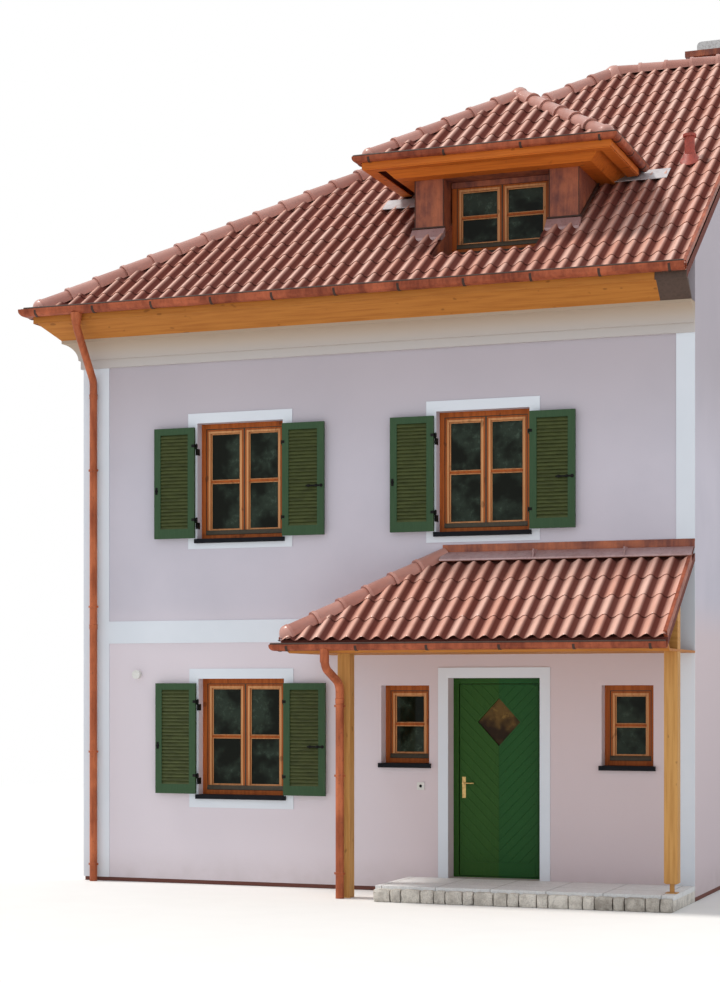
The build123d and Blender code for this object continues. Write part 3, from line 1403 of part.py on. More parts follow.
with BuildPart() as wall_fittings:
    with BuildSketch(wall_frame("front")):
        with Locations((DOOR.centre - BELL_FROM_DOOR, GROUND_TOP + BELL_UP)):
            RectangleRounded(BELL_W, BELL_W, BELL_ROUND)
    extrude(amount=BELL_T)
    with BuildSketch(wall_frame("front")):
        with Locations((LAMP_X, GROUND_TOP + LAMP_UP)):
            Circle(LAMP_R)
    extrude(amount=LAMP_OUT)
keep(wall_fittings.part, "wall_fittings")
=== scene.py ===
"""Looks of the semi-detached house: tiles, boards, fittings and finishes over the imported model."""

import json
import logging
import math
from dataclasses import dataclass, field
from enum import Enum
from functools import cache
from typing import ClassVar, Iterable, Sequence

import bmesh
import bpy
from mathutils import Matrix, Vector, noise

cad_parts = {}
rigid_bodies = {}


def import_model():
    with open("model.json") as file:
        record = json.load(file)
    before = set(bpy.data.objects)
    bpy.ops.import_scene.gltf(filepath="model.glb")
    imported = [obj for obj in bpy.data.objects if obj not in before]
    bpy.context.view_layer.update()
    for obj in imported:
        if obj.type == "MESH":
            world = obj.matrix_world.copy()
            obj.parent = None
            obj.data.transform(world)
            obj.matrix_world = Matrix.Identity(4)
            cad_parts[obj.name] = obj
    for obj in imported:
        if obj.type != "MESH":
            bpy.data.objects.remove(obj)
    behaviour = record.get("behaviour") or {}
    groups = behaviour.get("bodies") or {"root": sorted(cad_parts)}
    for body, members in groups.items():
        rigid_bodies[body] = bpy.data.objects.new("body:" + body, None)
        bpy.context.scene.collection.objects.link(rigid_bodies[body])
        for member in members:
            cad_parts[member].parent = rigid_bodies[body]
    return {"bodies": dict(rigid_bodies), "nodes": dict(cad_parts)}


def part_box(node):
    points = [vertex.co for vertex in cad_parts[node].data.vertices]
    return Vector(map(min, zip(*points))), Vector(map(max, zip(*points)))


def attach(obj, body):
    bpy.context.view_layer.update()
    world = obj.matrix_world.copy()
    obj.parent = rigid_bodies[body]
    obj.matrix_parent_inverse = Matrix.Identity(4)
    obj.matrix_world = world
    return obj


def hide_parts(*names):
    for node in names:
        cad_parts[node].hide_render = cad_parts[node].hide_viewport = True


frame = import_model()

log = logging.getLogger("house")
Point = tuple[float, float, float]
Colour = tuple[float, float, float]

# Walls, roof and dormer, in metres, as the model has them
LEFT, RIGHT = -3.625, 3.625
FRONT, BACK = -5.15, 5.15
EAVE_OUT = 0.43
EAVE_Z = 6.625
PITCH = math.radians(34.0)
RISE = math.tan(PITCH)
APEX_X = LEFT - EAVE_OUT + (BACK + EAVE_OUT)
RIDGE_Z = EAVE_Z + (BACK + EAVE_OUT) * RISE
DORMER_X, DORMER_HALF = 1.200, 1.435
DORMER_FRONT, DORMER_EAVE_Z = -4.845, 8.242
DORMER_TOP_Z = DORMER_EAVE_Z + DORMER_HALF * RISE
PORCH_X, PORCH_FRONT, PORCH_EAVE_Z = -0.545, -6.520, 2.765
PORCH_REACH = FRONT - PORCH_FRONT
PORCH_TOP_Z = PORCH_EAVE_Z + PORCH_REACH * RISE
# The roofs' edges in plan
WEST, SOUTH, NORTH = LEFT - EAVE_OUT, FRONT - EAVE_OUT, BACK + EAVE_OUT
DORMER_W, DORMER_E = DORMER_X - DORMER_HALF, DORMER_X + DORMER_HALF
# How far the gutters' middle lines stand out from those edges, and their outer radii
MAIN_TROUGH, SMALL_TROUGH = 0.0703, 0.0503
MAIN_TROUGH_R, SMALL_TROUGH_R = 0.070, 0.050
# The shutters' pins and the surrounds' face
PIN_Y, SURROUND_Y = -5.18, -5.16
KNUCKLE_R = 0.0115


class Wire:
    """One output socket of a node tree, with arithmetic that adds the Math nodes it needs."""

    def __init__(self, book: "NodeBook", socket: bpy.types.NodeSocket) -> None:
        """Keeps the tree and the socket."""
        self.book = book
        self.socket = socket

    def _with(self, operation: str, *values: "Wire | float") -> "Wire":
        """Returns the result of one Math node on these values."""
        numbered = dict(enumerate(values))
        return self.book.node("ShaderNodeMath", {"operation": operation}, numbered)

    def __add__(self, other: "Wire | float") -> "Wire":
        """Returns this plus other."""
        return self._with("ADD", self, other)

    def __sub__(self, other: "Wire | float") -> "Wire":
        """Returns this minus other."""
        return self._with("SUBTRACT", self, other)

    def __rsub__(self, other: float) -> "Wire":
        """Returns other minus this."""
        return self._with("SUBTRACT", other, self)

    def __mul__(self, other: "Wire | float") -> "Wire":
        """Returns this times other."""
        return self._with("MULTIPLY", self, other)

    def __truediv__(self, other: "Wire | float") -> "Wire":
        """Returns this divided by other."""
        return self._with("DIVIDE", self, other)

    def __gt__(self, other: "Wire | float") -> "Wire":
        """Returns 1 where this is more than other, and 0 elsewhere."""
        return self._with("GREATER_THAN", self, other)

    def __lt__(self, other: "Wire | float") -> "Wire":
        """Returns 1 where this is less than other, and 0 elsewhere."""
        return self._with("LESS_THAN", self, other)

    __radd__ = __add__
    __rmul__ = __mul__

    def floor(self) -> "Wire":
        """Returns the whole number below this."""
        return self._with("FLOOR", self)

    def modulo(self, other: "Wire | float") -> "Wire":
        """Returns what is left of this over other."""
        return self._with("FLOORED_MODULO", self, other)

    def size(self) -> "Wire":
        """Returns this without its sign."""
        return self._with("ABSOLUTE", self)

    def ramp(self, low: float, high: float) -> "Wire":
        """Returns a smooth step of this from low to high."""
        return self.book.node(
            "ShaderNodeMapRange",
            {"interpolation_type": "SMOOTHSTEP"},
            {"Value": self, "From Min": low, "From Max": high},
        )


class NodeBook:
    """A node tree that is written node by node."""

    def __init__(self, tree: bpy.types.NodeTree) -> None:
        """Keeps the tree."""
        self.tree = tree

    def node(
        self,
        kind: str,
        settings: dict | None = None,
        inputs: dict | None = None,
        out: int | str = 0,
    ) -> Wire:
        """Adds one node.

        Args:
            kind: The node's type.
            settings: Its properties, which are set before its sockets.
            inputs: Values or wires by socket name or number.
            out: The output to return.

        Returns:
            The wire of that output.
        """
        made = self.tree.nodes.new(kind)
        for name, value in (settings or {}).items():
            setattr(made, name, value)
        for name, value in (inputs or {}).items():
            if isinstance(value, Wire):
                self.tree.links.new(value.socket, made.inputs[name])
            else:
                made.inputs[name].default_value = value
        return Wire(self, made.outputs[out]) if len(made.outputs) else Wire(self, made.inputs[0])


class Axis(Enum):
    """The way that a grain or brushing runs."""

    X = 0
    Y = 1
    Z = 2


class Paint(NodeBook):
    """A material's tree, with the patterns that the finishes share."""

    def __init__(self, name: str) -> None:
        """Starts an empty material of that name."""
        self.material = bpy.data.materials.new(name)
        self.material.use_nodes = True
        self.material.node_tree.nodes.clear()
        super().__init__(self.material.node_tree)
        self.place = self.node("ShaderNodeTexCoord", out="Object")

    def noise(self, scale: float, detail: float = 3.0, rough: float = 0.55, at: Wire | None = None) -> Wire:
        """Returns soft noise from 0 to 1.

        Args:
            scale: Blobs to the metre.
            detail: How many finer layers it has.
            rough: How strong those are.
            at: The place that it reads, or the object's own.

        Returns:
            The noise.
        """
        return self.node(
            "ShaderNodeTexNoise",
            {},
            {"Vector": at or self.place, "Scale": scale, "Detail": detail, "Roughness": rough},
        )

    def cells(self, scale: float) -> Wire:
        """Returns a random value for each cell of a broken pattern."""
        colour = self.node("ShaderNodeTexVoronoi", {}, {"Vector": self.place, "Scale": scale}, "Color")
        return self.node("ShaderNodeSeparateColor", {}, {0: colour})

    def stretched(self, axis: Axis, slow: float, fast: float) -> Wire:
        """Returns the place, slow along axis and fast across it, for grain and streaks."""
        scale = [fast, fast, fast]
        scale[axis.value] = slow
        return self.node("ShaderNodeMapping", {}, {"Vector": self.place, "Scale": scale})

    def along(self, axis: Axis) -> Wire:
        """Returns the place's coordinate on axis."""
        return self.node("ShaderNodeSeparateXYZ", {}, {0: self.place}, axis.value)

    def facing(self, axis: Axis) -> Wire:
        """Returns the true normal's coordinate on axis."""
        normal = self.node("ShaderNodeNewGeometry", out="True Normal")
        return self.node("ShaderNodeSeparateXYZ", {}, {0: normal}, axis.value)

    def carried(self, name: str) -> Wire:
        """Returns a value that the mesh carries."""
        return self.node("ShaderNodeAttribute", {"attribute_name": name}, out="Fac")

    def tone(self) -> Wire:
        """Returns the random tone that a repeated shape carries."""
        return self.carried("tone")

    def mix(self, low: "Colour | Wire", high: "Colour | Wire", share: Wire | float) -> Wire:
        """Returns a colour between low and high."""
        both = [c if isinstance(c, Wire) else (*c, 1.0) for c in (low, high)]
        return self.node("ShaderNodeMix", {"data_type": "RGBA"}, {0: share, 6: both[0], 7: both[1]}, 2)

@dataclass(frozen=True)
class Finish:
    """A surface: its colours, its gloss and the detail that the subclasses draw.

    Attributes:
        name: The material's name.
        colour: The main colour, linear.
        other: The colour that it varies towards, linear.
        roughness: How dull it is.
        metallic: 1 for bare metal.
        coat: How much clear gloss lies on it.
        bump: How high its relief stands, in metres.
        gleam: How strongly its surface mirrors what is round it.
    """

    name: str
    colour: Colour
    other: Colour
    roughness: float = 0.8
    metallic: float = 0.0
    coat: float = 0.0
    bump: float = 0.001
    gleam: float = 0.5

    def pattern(self, paint: Paint) -> tuple[Wire, Wire | float, Wire]:
        """Returns the colour, the roughness and the relief."""
        raise NotImplementedError

    def shine(self, paint: Paint) -> Wire | float:
        """Returns how much clear gloss lies on it."""
        return self.coat

    @cache
    def material(self) -> bpy.types.Material:
        """Returns the material, made once."""
        paint = Paint(self.name + "_finish")
        colour, rough, relief = self.pattern(paint)
        normal = paint.node("ShaderNodeBump", {}, {"Height": relief, "Distance": self.bump, "Strength": 1.0})
        surface = paint.node(
            "ShaderNodeBsdfPrincipled",
            {},
            {
                "Base Color": colour,
                "Roughness": rough,
                "Metallic": self.metallic,
                "Coat Weight": self.shine(paint),
                "Coat Roughness": 0.2,
                "Specular IOR Level": self.gleam,
                "Normal": normal,
            },
        )
        paint.node("ShaderNodeOutputMaterial", {}, {"Surface": surface})
        return paint.material


@dataclass(frozen=True)
class Plaster(Finish):
    """Brushed wall plaster, cloudy, a little darker and dustier near the ground.

    Attributes:
        dust: The colour of the splash at its foot.
        strip: The colour of the dark strip at the ground.
        strip_top: The top of that strip.
    """

    dust: Colour = (0.42, 0.35, 0.33)
    strip: Colour = (0.17, 0.07, 0.055)
    strip_top: float = 0.044

    def ground(self, paint: Paint) -> Wire:
        """Returns the plaster's colour without the splash."""
        return paint.mix(self.colour, self.other, paint.noise(0.7, 4.0).ramp(0.3, 0.75))

    def pattern(self, paint: Paint) -> tuple[Wire, Wire | float, Wire]:
        """Returns the colour, the roughness and the relief."""
        colour = self.ground(paint)
        foot = 1.0 - paint.along(Axis.Z).ramp(0.0, 0.45)
        colour = paint.mix(colour, self.dust, foot * paint.noise(5.0, 5.0) * 0.55)
        colour = paint.mix(self.strip, colour, paint.along(Axis.Z) > self.strip_top)
        grain = paint.noise(170.0, 2.0) + paint.noise(45.0, 3.0) * 0.8
        return colour, self.roughness, grain


@dataclass(frozen=True)
class WallPlaster(Plaster):
    """The walls' plaster: warmer and lighter below the first floor as painted light, and warmer and darker
    under the porch and the eaves as painted shade.

    Attributes:
        below: Its colour below the first floor, lighter as painted light.
        porch: Its colour under the porch, darker as painted shade.
        shade: The painted shade that it takes under the eaves.
    """

    below: Colour = (0.71, 0.645, 0.69)
    porch: Colour = (0.655, 0.555, 0.57)
    shade: Colour = (0.40, 0.345, 0.36)

    def ground(self, paint: Paint) -> Wire:
        """Returns the plaster's colour without the splash."""
        colour = super().ground(paint)
        # Painted light below the first floor, painted shade under the porch, then painted shade under the
        # eaves.
        low = paint.mix(self.below, self.porch, paint.along(Axis.X).ramp(-0.5, 1.2))
        colour = paint.mix(low, colour, paint.along(Axis.Z).ramp(2.7, 3.3))
        return paint.mix(colour, self.shade, paint.along(Axis.Z).ramp(4.4, 6.0) * 0.55)


@dataclass(frozen=True)
class Shaded(Finish):
    """Plaster under the eaves, darker with painted shade and taking the boards' colour as painted bounce light
    towards its top.

    Attributes:
        foot: The height where it is plain.
        top: The height where it is darkest.
    """

    foot: float = 6.02
    top: float = 6.34

    def pattern(self, paint: Paint) -> tuple[Wire, Wire | float, Wire]:
        """Returns the colour, the roughness and the relief."""
        share = paint.along(Axis.Z).ramp(self.foot, self.top)
        # Painted shade and painted bounce light from the boards, growing towards the top.
        colour = paint.mix(self.colour, self.other, share * 0.9 + paint.noise(0.8, 4.0) * 0.1)
        return colour, self.roughness, paint.noise(170.0, 2.0)


@dataclass(frozen=True)
class Clay(Finish):
    """Fired roof tile with a thin glaze: each tile has its own tone and sooty stains, with painted shade in its
    troughs, on its steep flank and under its front edge.

    Attributes:
        soot_and_shade: The darkest colour, for the sooty stains and the painted shade.
    """

    soot_and_shade: Colour = (0.10, 0.018, 0.014)

    def pattern(self, paint: Paint) -> tuple[Wire, Wire | float, Wire]:
        """Returns the colour, the roughness and the relief."""
        colour = paint.mix(self.colour, self.other, paint.tone() * 0.75 + paint.noise(9.0) * 0.3)
        colour = paint.mix(colour, self.soot_and_shade, paint.noise(2.1, 5.0).ramp(0.5, 0.8) * 0.25)
        # Painted shade from the tile's shade map: in the troughs, on the steep flank after the crest and under
        # the front edge.
        colour = paint.mix(colour, self.soot_and_shade, paint.carried("painted_shade") * 0.93)
        rough = self.roughness + paint.noise(14.0) * 0.16
        return colour, rough, paint.noise(120.0, 3.0)

    def shine(self, paint: Paint) -> Wire | float:
        """Returns the glaze, which is taken off where the shade is painted."""
        return (1.0 - paint.carried("painted_shade")) * self.coat


@dataclass(frozen=True)
class Copper(Finish):
    """Weathered sheet metal: bright where it is handled, brown and spotted elsewhere.

    Attributes:
        spots: How strong its spots are.
        cloud: Its large stains to the metre.
        tarnish: The colour of its spots.
    """

    spots: float = 0.3
    cloud: float = 1.7
    tarnish: Colour = (0.10, 0.045, 0.034)

    def pattern(self, paint: Paint) -> tuple[Wire, Wire | float, Wire]:
        """Returns the colour, the roughness and the relief."""
        streak = paint.noise(5.0, 5.0, 0.65, paint.stretched(Axis.Z, 0.5, 2.5))
        cloud = paint.noise(self.cloud, 3.0)
        spots = paint.noise(38.0, 4.0).ramp(0.58, 0.68)
        stain = streak.ramp(0.32, 0.68) * 0.5 + cloud.ramp(0.35, 0.62) * 0.5
        colour = paint.mix(paint.mix(self.colour, self.other, stain), self.tarnish, spots * self.spots)
        return colour, self.roughness + spots * 0.2, paint.noise(25.0) + spots * 0.5


@dataclass(frozen=True)
class Timber(Finish):
    """Stained softwood with its grain along one axis and a few knots.

    Attributes:
        grain: The axis that the boards run along.
    """

    grain: Axis = Axis.X

    def pattern(self, paint: Paint) -> tuple[Wire, Wire | float, Wire]:
        """Returns the colour, the roughness and the relief."""
        place = paint.stretched(self.grain, 1.6, 34.0)
        line = paint.noise(1.0, 6.0, 0.6, place)
        fine = paint.noise(5.0, 3.0, 0.6, place)
        colour = paint.mix(self.colour, self.other, line.ramp(0.35, 0.72))
        knots = paint.noise(1.0, 0.0, 0.5, paint.stretched(self.grain, 9.0, 16.0)).ramp(0.76, 0.82)
        colour = paint.mix(colour, tuple(c * 0.45 for c in self.other), knots * 0.6)
        return colour, self.roughness + fine * 0.12, line + fine * 0.6


@dataclass(frozen=True)
class Painted(Finish):
    """Brushed paint over wood or steel, thinner and lighter on its worn places."""

    def pattern(self, paint: Paint) -> tuple[Wire, Wire | float, Wire]:
        """Returns the colour, the roughness and the relief."""
        brush = paint.noise(2.0, 5.0, 0.6, paint.stretched(Axis.Z, 3.0, 60.0))
        worn = paint.noise(11.0, 6.0, 0.7).ramp(0.6, 0.75)
        colour = paint.mix(self.colour, self.other, brush.ramp(0.35, 0.75) * 0.6 + worn * 0.4)
        return colour, self.roughness + worn * 0.2, brush


@dataclass(frozen=True)
class SplitSheen(Painted):
    """The door's green, which leans to blue on the boards right of the seam as a painted sheen of boards that
    slant the other way.

    Attributes:
        seam: The x of the seam.
        right: The colour right of it, which paints that sheen.
    """

    seam: float = 1.409
    right: Colour = (0.013, 0.084, 0.020)

    def pattern(self, paint: Paint) -> tuple[Wire, Wire | float, Wire]:
        """Returns the colour, the roughness and the relief."""
        colour, rough, relief = super().pattern(paint)
        # Painted sheen: the boards right of the seam take the bluer colour.
        side = (paint.along(Axis.X) > self.seam) * 0.75
        return paint.mix(colour, self.right, side), rough, relief


@dataclass(frozen=True)
class Louvre(Painted):
    """The shutters' green: the frame darker, the tilted slats yellower where they face upwards, as painted
    light on them.

    Attributes:
        slat: The slats' colour, lighter as painted light.
    """

    slat: Colour = (0.072, 0.088, 0.026)

    def pattern(self, paint: Paint) -> tuple[Wire, Wire | float, Wire]:
        """Returns the colour, the roughness and the relief."""
        colour, rough, relief = super().pattern(paint)
        # Painted light on the slats' tilted faces, found by their facing; the streaks are weathering.
        tilt = paint.facing(Axis.Z).size()
        slats = (tilt > 0.25) * (1.0 - (tilt > 0.93))
        weather = paint.noise(7.0, 4.0, 0.6, paint.stretched(Axis.X, 1.0, 5.0))
        slat = paint.mix(self.slat, tuple(c * 0.62 for c in self.slat), weather.ramp(0.35, 0.7))
        return paint.mix(colour, slat, slats), rough, relief


@dataclass(frozen=True)
class Stone(Finish):
    """Speckled stone, with each block's own tone where it has one.

    Attributes:
        speck: The colour of its dark grains.
        grains: Grains to the metre.
    """

    speck: Colour = (0.12, 0.11, 0.1)
    grains: float = 260.0

    def pattern(self, paint: Paint) -> tuple[Wire, Wire | float, Wire]:
        """Returns the colour, the roughness and the relief."""
        cell = paint.cells(self.grains)
        shade = paint.tone() * 0.55 + paint.noise(9.0, 5.0).ramp(0.4, 0.68) * 0.45
        colour = paint.mix(paint.mix(self.colour, self.other, shade), self.speck, (cell > 0.8) * 0.5)
        return colour, self.roughness, paint.noise(40.0, 5.0) + cell * 0.3


@dataclass(frozen=True)
class Paving(Stone):
    """Sawn stone slabs with sanded joints.

    Attributes:
        slab: Length of a slab on both axes.
        joint: Width of a joint.
        start: How far the joints are moved on x and on y.
        sand: The joints' colour.
    """

    slab: float = 0.6
    joint: float = 0.007
    start: tuple[float, float] = (0.105, 5.79)
    sand: Colour = (0.22, 0.2, 0.185)

    def pattern(self, paint: Paint) -> tuple[Wire, Wire | float, Wire]:
        """Returns the colour, the roughness and the relief."""
        colour, rough, relief = super().pattern(paint)
        across = self.joint > (paint.along(Axis.X) + self.start[0]).modulo(self.slab)
        deep = self.joint > (paint.along(Axis.Y) + self.start[1]).modulo(self.slab)
        line = across + deep - across * deep
        return paint.mix(colour, self.sand, line), rough, relief - line * 2.0


@dataclass(frozen=True)
class Pane(Finish):
    """Window glass with a dark room behind it and painted reflections in soft patches, a little uneven."""

    def pattern(self, paint: Paint) -> tuple[Wire, Wire | float, Wire]:
        """Returns the colour, the roughness and the relief."""
        # Soft patches and flecks of the other colour: painted reflections on the window glass.
        patch = paint.noise(2.2, 3.0, 0.6).ramp(0.42, 0.62)
        fleck = paint.noise(13.0, 6.0, 0.75).ramp(0.50, 0.70)
        colour = paint.mix(self.colour, self.other, patch * 0.35 + fleck * patch * 0.65)
        return colour, self.roughness, paint.noise(2.5, 0.0)


@dataclass(frozen=True)
class Cast(Finish):
    """Small hardware and mouldings: fine grain and faint wear."""

    def pattern(self, paint: Paint) -> tuple[Wire, Wire | float, Wire]:
        """Returns the colour, the roughness and the relief."""
        worn = paint.noise(30.0, 5.0, 0.65)
        colour = paint.mix(self.colour, self.other, worn.ramp(0.4, 0.75))
        return colour, self.roughness + worn * 0.15, paint.noise(300.0, 2.0)


LILAC = WallPlaster("lilac_plaster", (0.61, 0.575, 0.64), (0.55, 0.525, 0.59), 0.9, bump=0.0007, gleam=0.15)
WHITE = Plaster(
    "white_plaster", (0.745, 0.785, 0.84), (0.69, 0.735, 0.79),
    0.9, bump=0.0005, gleam=0.15, dust=(0.5, 0.45, 0.42),
)
UNDER_EAVES = Shaded("under_eaves", (0.53, 0.50, 0.485), (0.42, 0.32, 0.23), 0.9, bump=0.0005, gleam=0.1)
# Its pale colours carry painted highlights of the glaze on the crests.
CLAY = Clay("tile_clay", (0.85, 0.55, 0.45), (0.70, 0.35, 0.26), 0.3, coat=0.8, bump=0.0005, gleam=0.0)
CAP_CLAY = Clay(
    "cap_clay", (0.53, 0.27, 0.22), (0.40, 0.165, 0.125), 0.36, coat=0.3, bump=0.0007, gleam=0.3,
)
BED_CLAY = Clay("bed_clay", (0.16, 0.045, 0.032), (0.10, 0.03, 0.022), 0.7, bump=0.0007, gleam=0.2)
PIPE_COPPER = Copper(
    "pipe_copper", (0.58, 0.17, 0.07), (0.28, 0.066, 0.026), 0.4, metallic=0.2, bump=0.0005, gleam=0.2,
)
GUTTER_COPPER = Copper(
    "trough_copper", (0.48, 0.125, 0.055), (0.17, 0.034, 0.016), 0.42, metallic=0.15, bump=0.0006, gleam=0.2,
)
RIM_COPPER = Copper("rim_copper", (0.075, 0.04, 0.03), (0.045, 0.026, 0.02), 0.5, bump=0.0004, gleam=0.2)
FLASHING = Copper("apron_copper", (0.50, 0.35, 0.35), (0.38, 0.23, 0.22), 0.38, metallic=0.3, bump=0.0006)
CLADDING = Copper(
    "sheet_copper", (0.48, 0.155, 0.075), (0.15, 0.055, 0.048),
    0.45, metallic=0.15, bump=0.0006, gleam=0.2, spots=0.12, cloud=3.2,
)
LEAD = Copper(
    "lead_sheet", (0.62, 0.60, 0.61), (0.44, 0.40, 0.41),
    0.5, metallic=0.1, bump=0.0006, gleam=0.2, spots=0.1,
)
GOLD_WOOD = Timber(
    "golden_boards", (0.48, 0.185, 0.034), (0.38, 0.13, 0.022), 0.5, bump=0.0005, gleam=0.2, grain=Axis.X,
)
DORMER_WOOD = Timber(
    "dormer_boards", (0.64, 0.175, 0.022), (0.50, 0.12, 0.015), 0.5, bump=0.0005, gleam=0.2, grain=Axis.X,
)
POST_WOOD = Timber(
    "post_wood", (0.58, 0.305, 0.09), (0.45, 0.21, 0.052), 0.55, bump=0.0006, gleam=0.3, grain=Axis.Z,
)
BEAM_WOOD = Timber(
    "beam_wood", (0.60, 0.30, 0.08), (0.47, 0.21, 0.05), 0.55, bump=0.0006, gleam=0.3, grain=Axis.X,
)
SASH_WOOD = Timber(
    "sash_wood", (0.42, 0.105, 0.018), (0.28, 0.062, 0.010), 0.45, bump=0.0004, gleam=0.2, grain=Axis.Z,
)
BEAD_WOOD = Timber(
    "bead_wood", (0.66, 0.32, 0.13), (0.52, 0.22, 0.075), 0.45, bump=0.0003, gleam=0.3, grain=Axis.Z,
)
SHUTTER_GREEN = Louvre(
    "shutter_green", (0.030, 0.072, 0.030), (0.048, 0.10, 0.045), 0.55, bump=0.0004, gleam=0.25,
)
DOOR_GREEN = SplitSheen(
    "door_green", (0.022, 0.082, 0.011), (0.036, 0.105, 0.018), 0.42, bump=0.0004, gleam=0.15,
)
SLATE = Stone(
    "dark_slate", (0.006, 0.007, 0.010), (0.012, 0.013, 0.017),
    0.6, bump=0.0006, gleam=0.1, speck=(0.02, 0.02, 0.024), grains=400.0,
)
GRANITE = Stone("split_granite", (0.82, 0.77, 0.69), (0.31, 0.275, 0.235), 0.88, bump=0.006, gleam=0.2)
TERRACE = Paving(
    "terrace_slabs", (0.80, 0.80, 0.79), (0.71, 0.71, 0.70),
    0.7, bump=0.0008, gleam=0.3, speck=(0.4, 0.38, 0.36),
)
CONCRETE = Stone(
    "plain_concrete", (0.42, 0.40, 0.37), (0.33, 0.31, 0.29), 0.9, bump=0.0015, speck=(0.25, 0.24, 0.22),
)
# Its other colour is a painted reflection of the greenery.
GLASS = Pane("dark_glass", (0.005, 0.007, 0.004), (0.065, 0.098, 0.070), 0.06, bump=0.0003, gleam=0.1)
DOOR_GLASS = Pane("amber_glass", (0.024, 0.012, 0.005), (0.34, 0.20, 0.05), 0.12, bump=0.002, gleam=0.1)
BRASS = Cast("brushed_brass", (0.66, 0.45, 0.18), (0.45, 0.29, 0.11), 0.3, metallic=0.9, bump=0.0001)
IRON = Cast("forged_iron", (0.005, 0.005, 0.005), (0.016, 0.015, 0.014), 0.6, bump=0.0003, gleam=0.15)
STEEL = Cast("brushed_steel", (0.52, 0.52, 0.52), (0.36, 0.35, 0.35), 0.32, metallic=0.9, bump=0.0002)
PLASTIC = Cast("cream_plastic", (0.72, 0.71, 0.68), (0.62, 0.61, 0.58), 0.45, bump=0.0001)
POT = Cast("terracotta_pipe", (0.40, 0.065, 0.042), (0.28, 0.05, 0.034), 0.45, bump=0.0006)
EAVE_PLATE = Cast("party_plate", (0.085, 0.05, 0.035), (0.06, 0.036, 0.026), 0.6, bump=0.0004)
BRONZE = Cast("bronze_rail", (0.050, 0.038, 0.020), (0.032, 0.025, 0.014), 0.45, metallic=0.2, bump=0.0002)

DRESSED: dict[Finish, tuple[str, ...]] = {
    LILAC: ("back_wall", "side_wall", "party_wall", "front_wall_left", "front_wall_over_door",
            "front_wall_right", "front_wall_upper"),
    WHITE: ("wall_bands", "window_surrounds"),
    UNDER_EAVES: ("cornice",),
    BED_CLAY: ("roof_front_slope", "roof_side_slope", "roof_back_slope", "dormer_roof", "porch_roof"),
    GUTTER_COPPER: ("main_gutter", "porch_gutter", "dormer_gutter"),
    CLADDING: ("porch_flashing", "dormer_body", "dormer_niche", "chimney"),
    STEEL: ("chimney_flue",),
    POT: ("vent_pipe",),
    GOLD_WOOD: ("eave_boards", "porch_ceiling"),
    DORMER_WOOD: ("dormer_eaves",),
    BEAM_WOOD: ("porch_beams",),
    POST_WOOD: ("porch_posts",),
    EAVE_PLATE: ("party_eave_plates",),
    SASH_WOOD: ("front_windows", "side_and_back_windows", "dormer_window"),
    GLASS: ("window_glass",),
    DOOR_GLASS: ("door_glass",),
    SLATE: ("window_sills",),
    DOOR_GREEN: ("front_door", "door_frame"),
    BRASS: ("door_handles",),
    IRON: ("shutter_pins",),
    SHUTTER_GREEN: (
        "side_and_back_shutters", "shutter_low_left", "shutter_low_right", "shutter_upper_left_left",
        "shutter_upper_left_right", "shutter_upper_right_left", "shutter_upper_right_right",
    ),
    PLASTIC: ("wall_fittings",),
    CONCRETE: ("ground_slab", "upper_floors"),
    TERRACE: ("terrace_plate",),
    GRANITE: ("terrace_kerb",),
}


class Shaper:
    """Builds one mesh out of strips and blocks."""

    def __init__(self) -> None:
        """Starts an empty mesh."""
        self.work = bmesh.new()

    def strip(self, rows: Sequence[Sequence[Vector]], closed: bool = False, ends: bool = False) -> None:
        """Skins rows of points.

        Args:
            rows: Rows of equally many points.
            closed: Whether each row is a ring.
            ends: Whether the first and the last row get a face.
        """
        made = [[self.work.verts.new(p) for p in row] for row in rows]
        count = len(rows[0])
        for low, high in zip(made, made[1:]):
            for i in range(count if closed else count - 1):
                j = (i + 1) % count
                self.work.faces.new((low[i], low[j], high[j], high[i]))
        if ends:
            self.work.faces.new(list(reversed(made[0])))
            self.work.faces.new(made[-1])

    def block(self, low: Sequence[float], high: Sequence[float], bevel: float = 0.0) -> None:
        """Adds a block with its edges taken off by bevel."""
        size = [b - a for a, b in zip(low, high)]
        middle = [(a + b) / 2 for a, b in zip(low, high)]
        place = Matrix.Translation(middle) @ Matrix.Diagonal((*size, 1.0))
        made = bmesh.ops.create_cube(self.work, size=1.0, matrix=place)["verts"]
        if bevel:
            edges = {e for v in made for e in v.link_edges}
            bmesh.ops.bevel(self.work, geom=list(edges), offset=bevel, segments=1, affect="EDGES", profile=0.5)

    def tube(self, points: Sequence[Vector], radii: Sequence[float], sides: int = 16) -> None:
        """Adds a round rod through points, closed at both ends.

        Args:
            points: Its stations.
            radii: Its radius at each.
            sides: Points of each ring.
        """
        way = (points[-1] - points[0]).normalized()
        aside = way.orthogonal().normalized()
        other = way.cross(aside)
        rows = []
        for p, r in zip(points, radii):
            turns = [2 * math.pi * i / sides for i in range(sides)]
            rows.append([p + (aside * math.cos(a) + other * math.sin(a)) * r for a in turns])
        self.strip(rows, closed=True, ends=True)

    def mesh(self, name: str, outward: bool = False) -> bpy.types.Mesh:
        """Returns the mesh, with doubled points merged.

        Args:
            name: Its name.
            outward: Whether the normals of its closed shells are turned outwards.

        Returns:
            The mesh.
        """
        bmesh.ops.remove_doubles(self.work, verts=self.work.verts, dist=0.00005)
        if outward:
            bmesh.ops.recalc_face_normals(self.work, faces=self.work.faces)
        made = bpy.data.meshes.new(name)
        self.work.to_mesh(made)
        self.work.free()
        return made


def joined(name: str, meshes: Iterable[bpy.types.Mesh]) -> bpy.types.Mesh:
    """Returns one mesh made of several, with their attributes kept."""
    work = bmesh.new()
    for mesh in meshes:
        work.from_mesh(mesh)
    made = bpy.data.meshes.new(name)
    work.to_mesh(made)
    work.free()
    return made


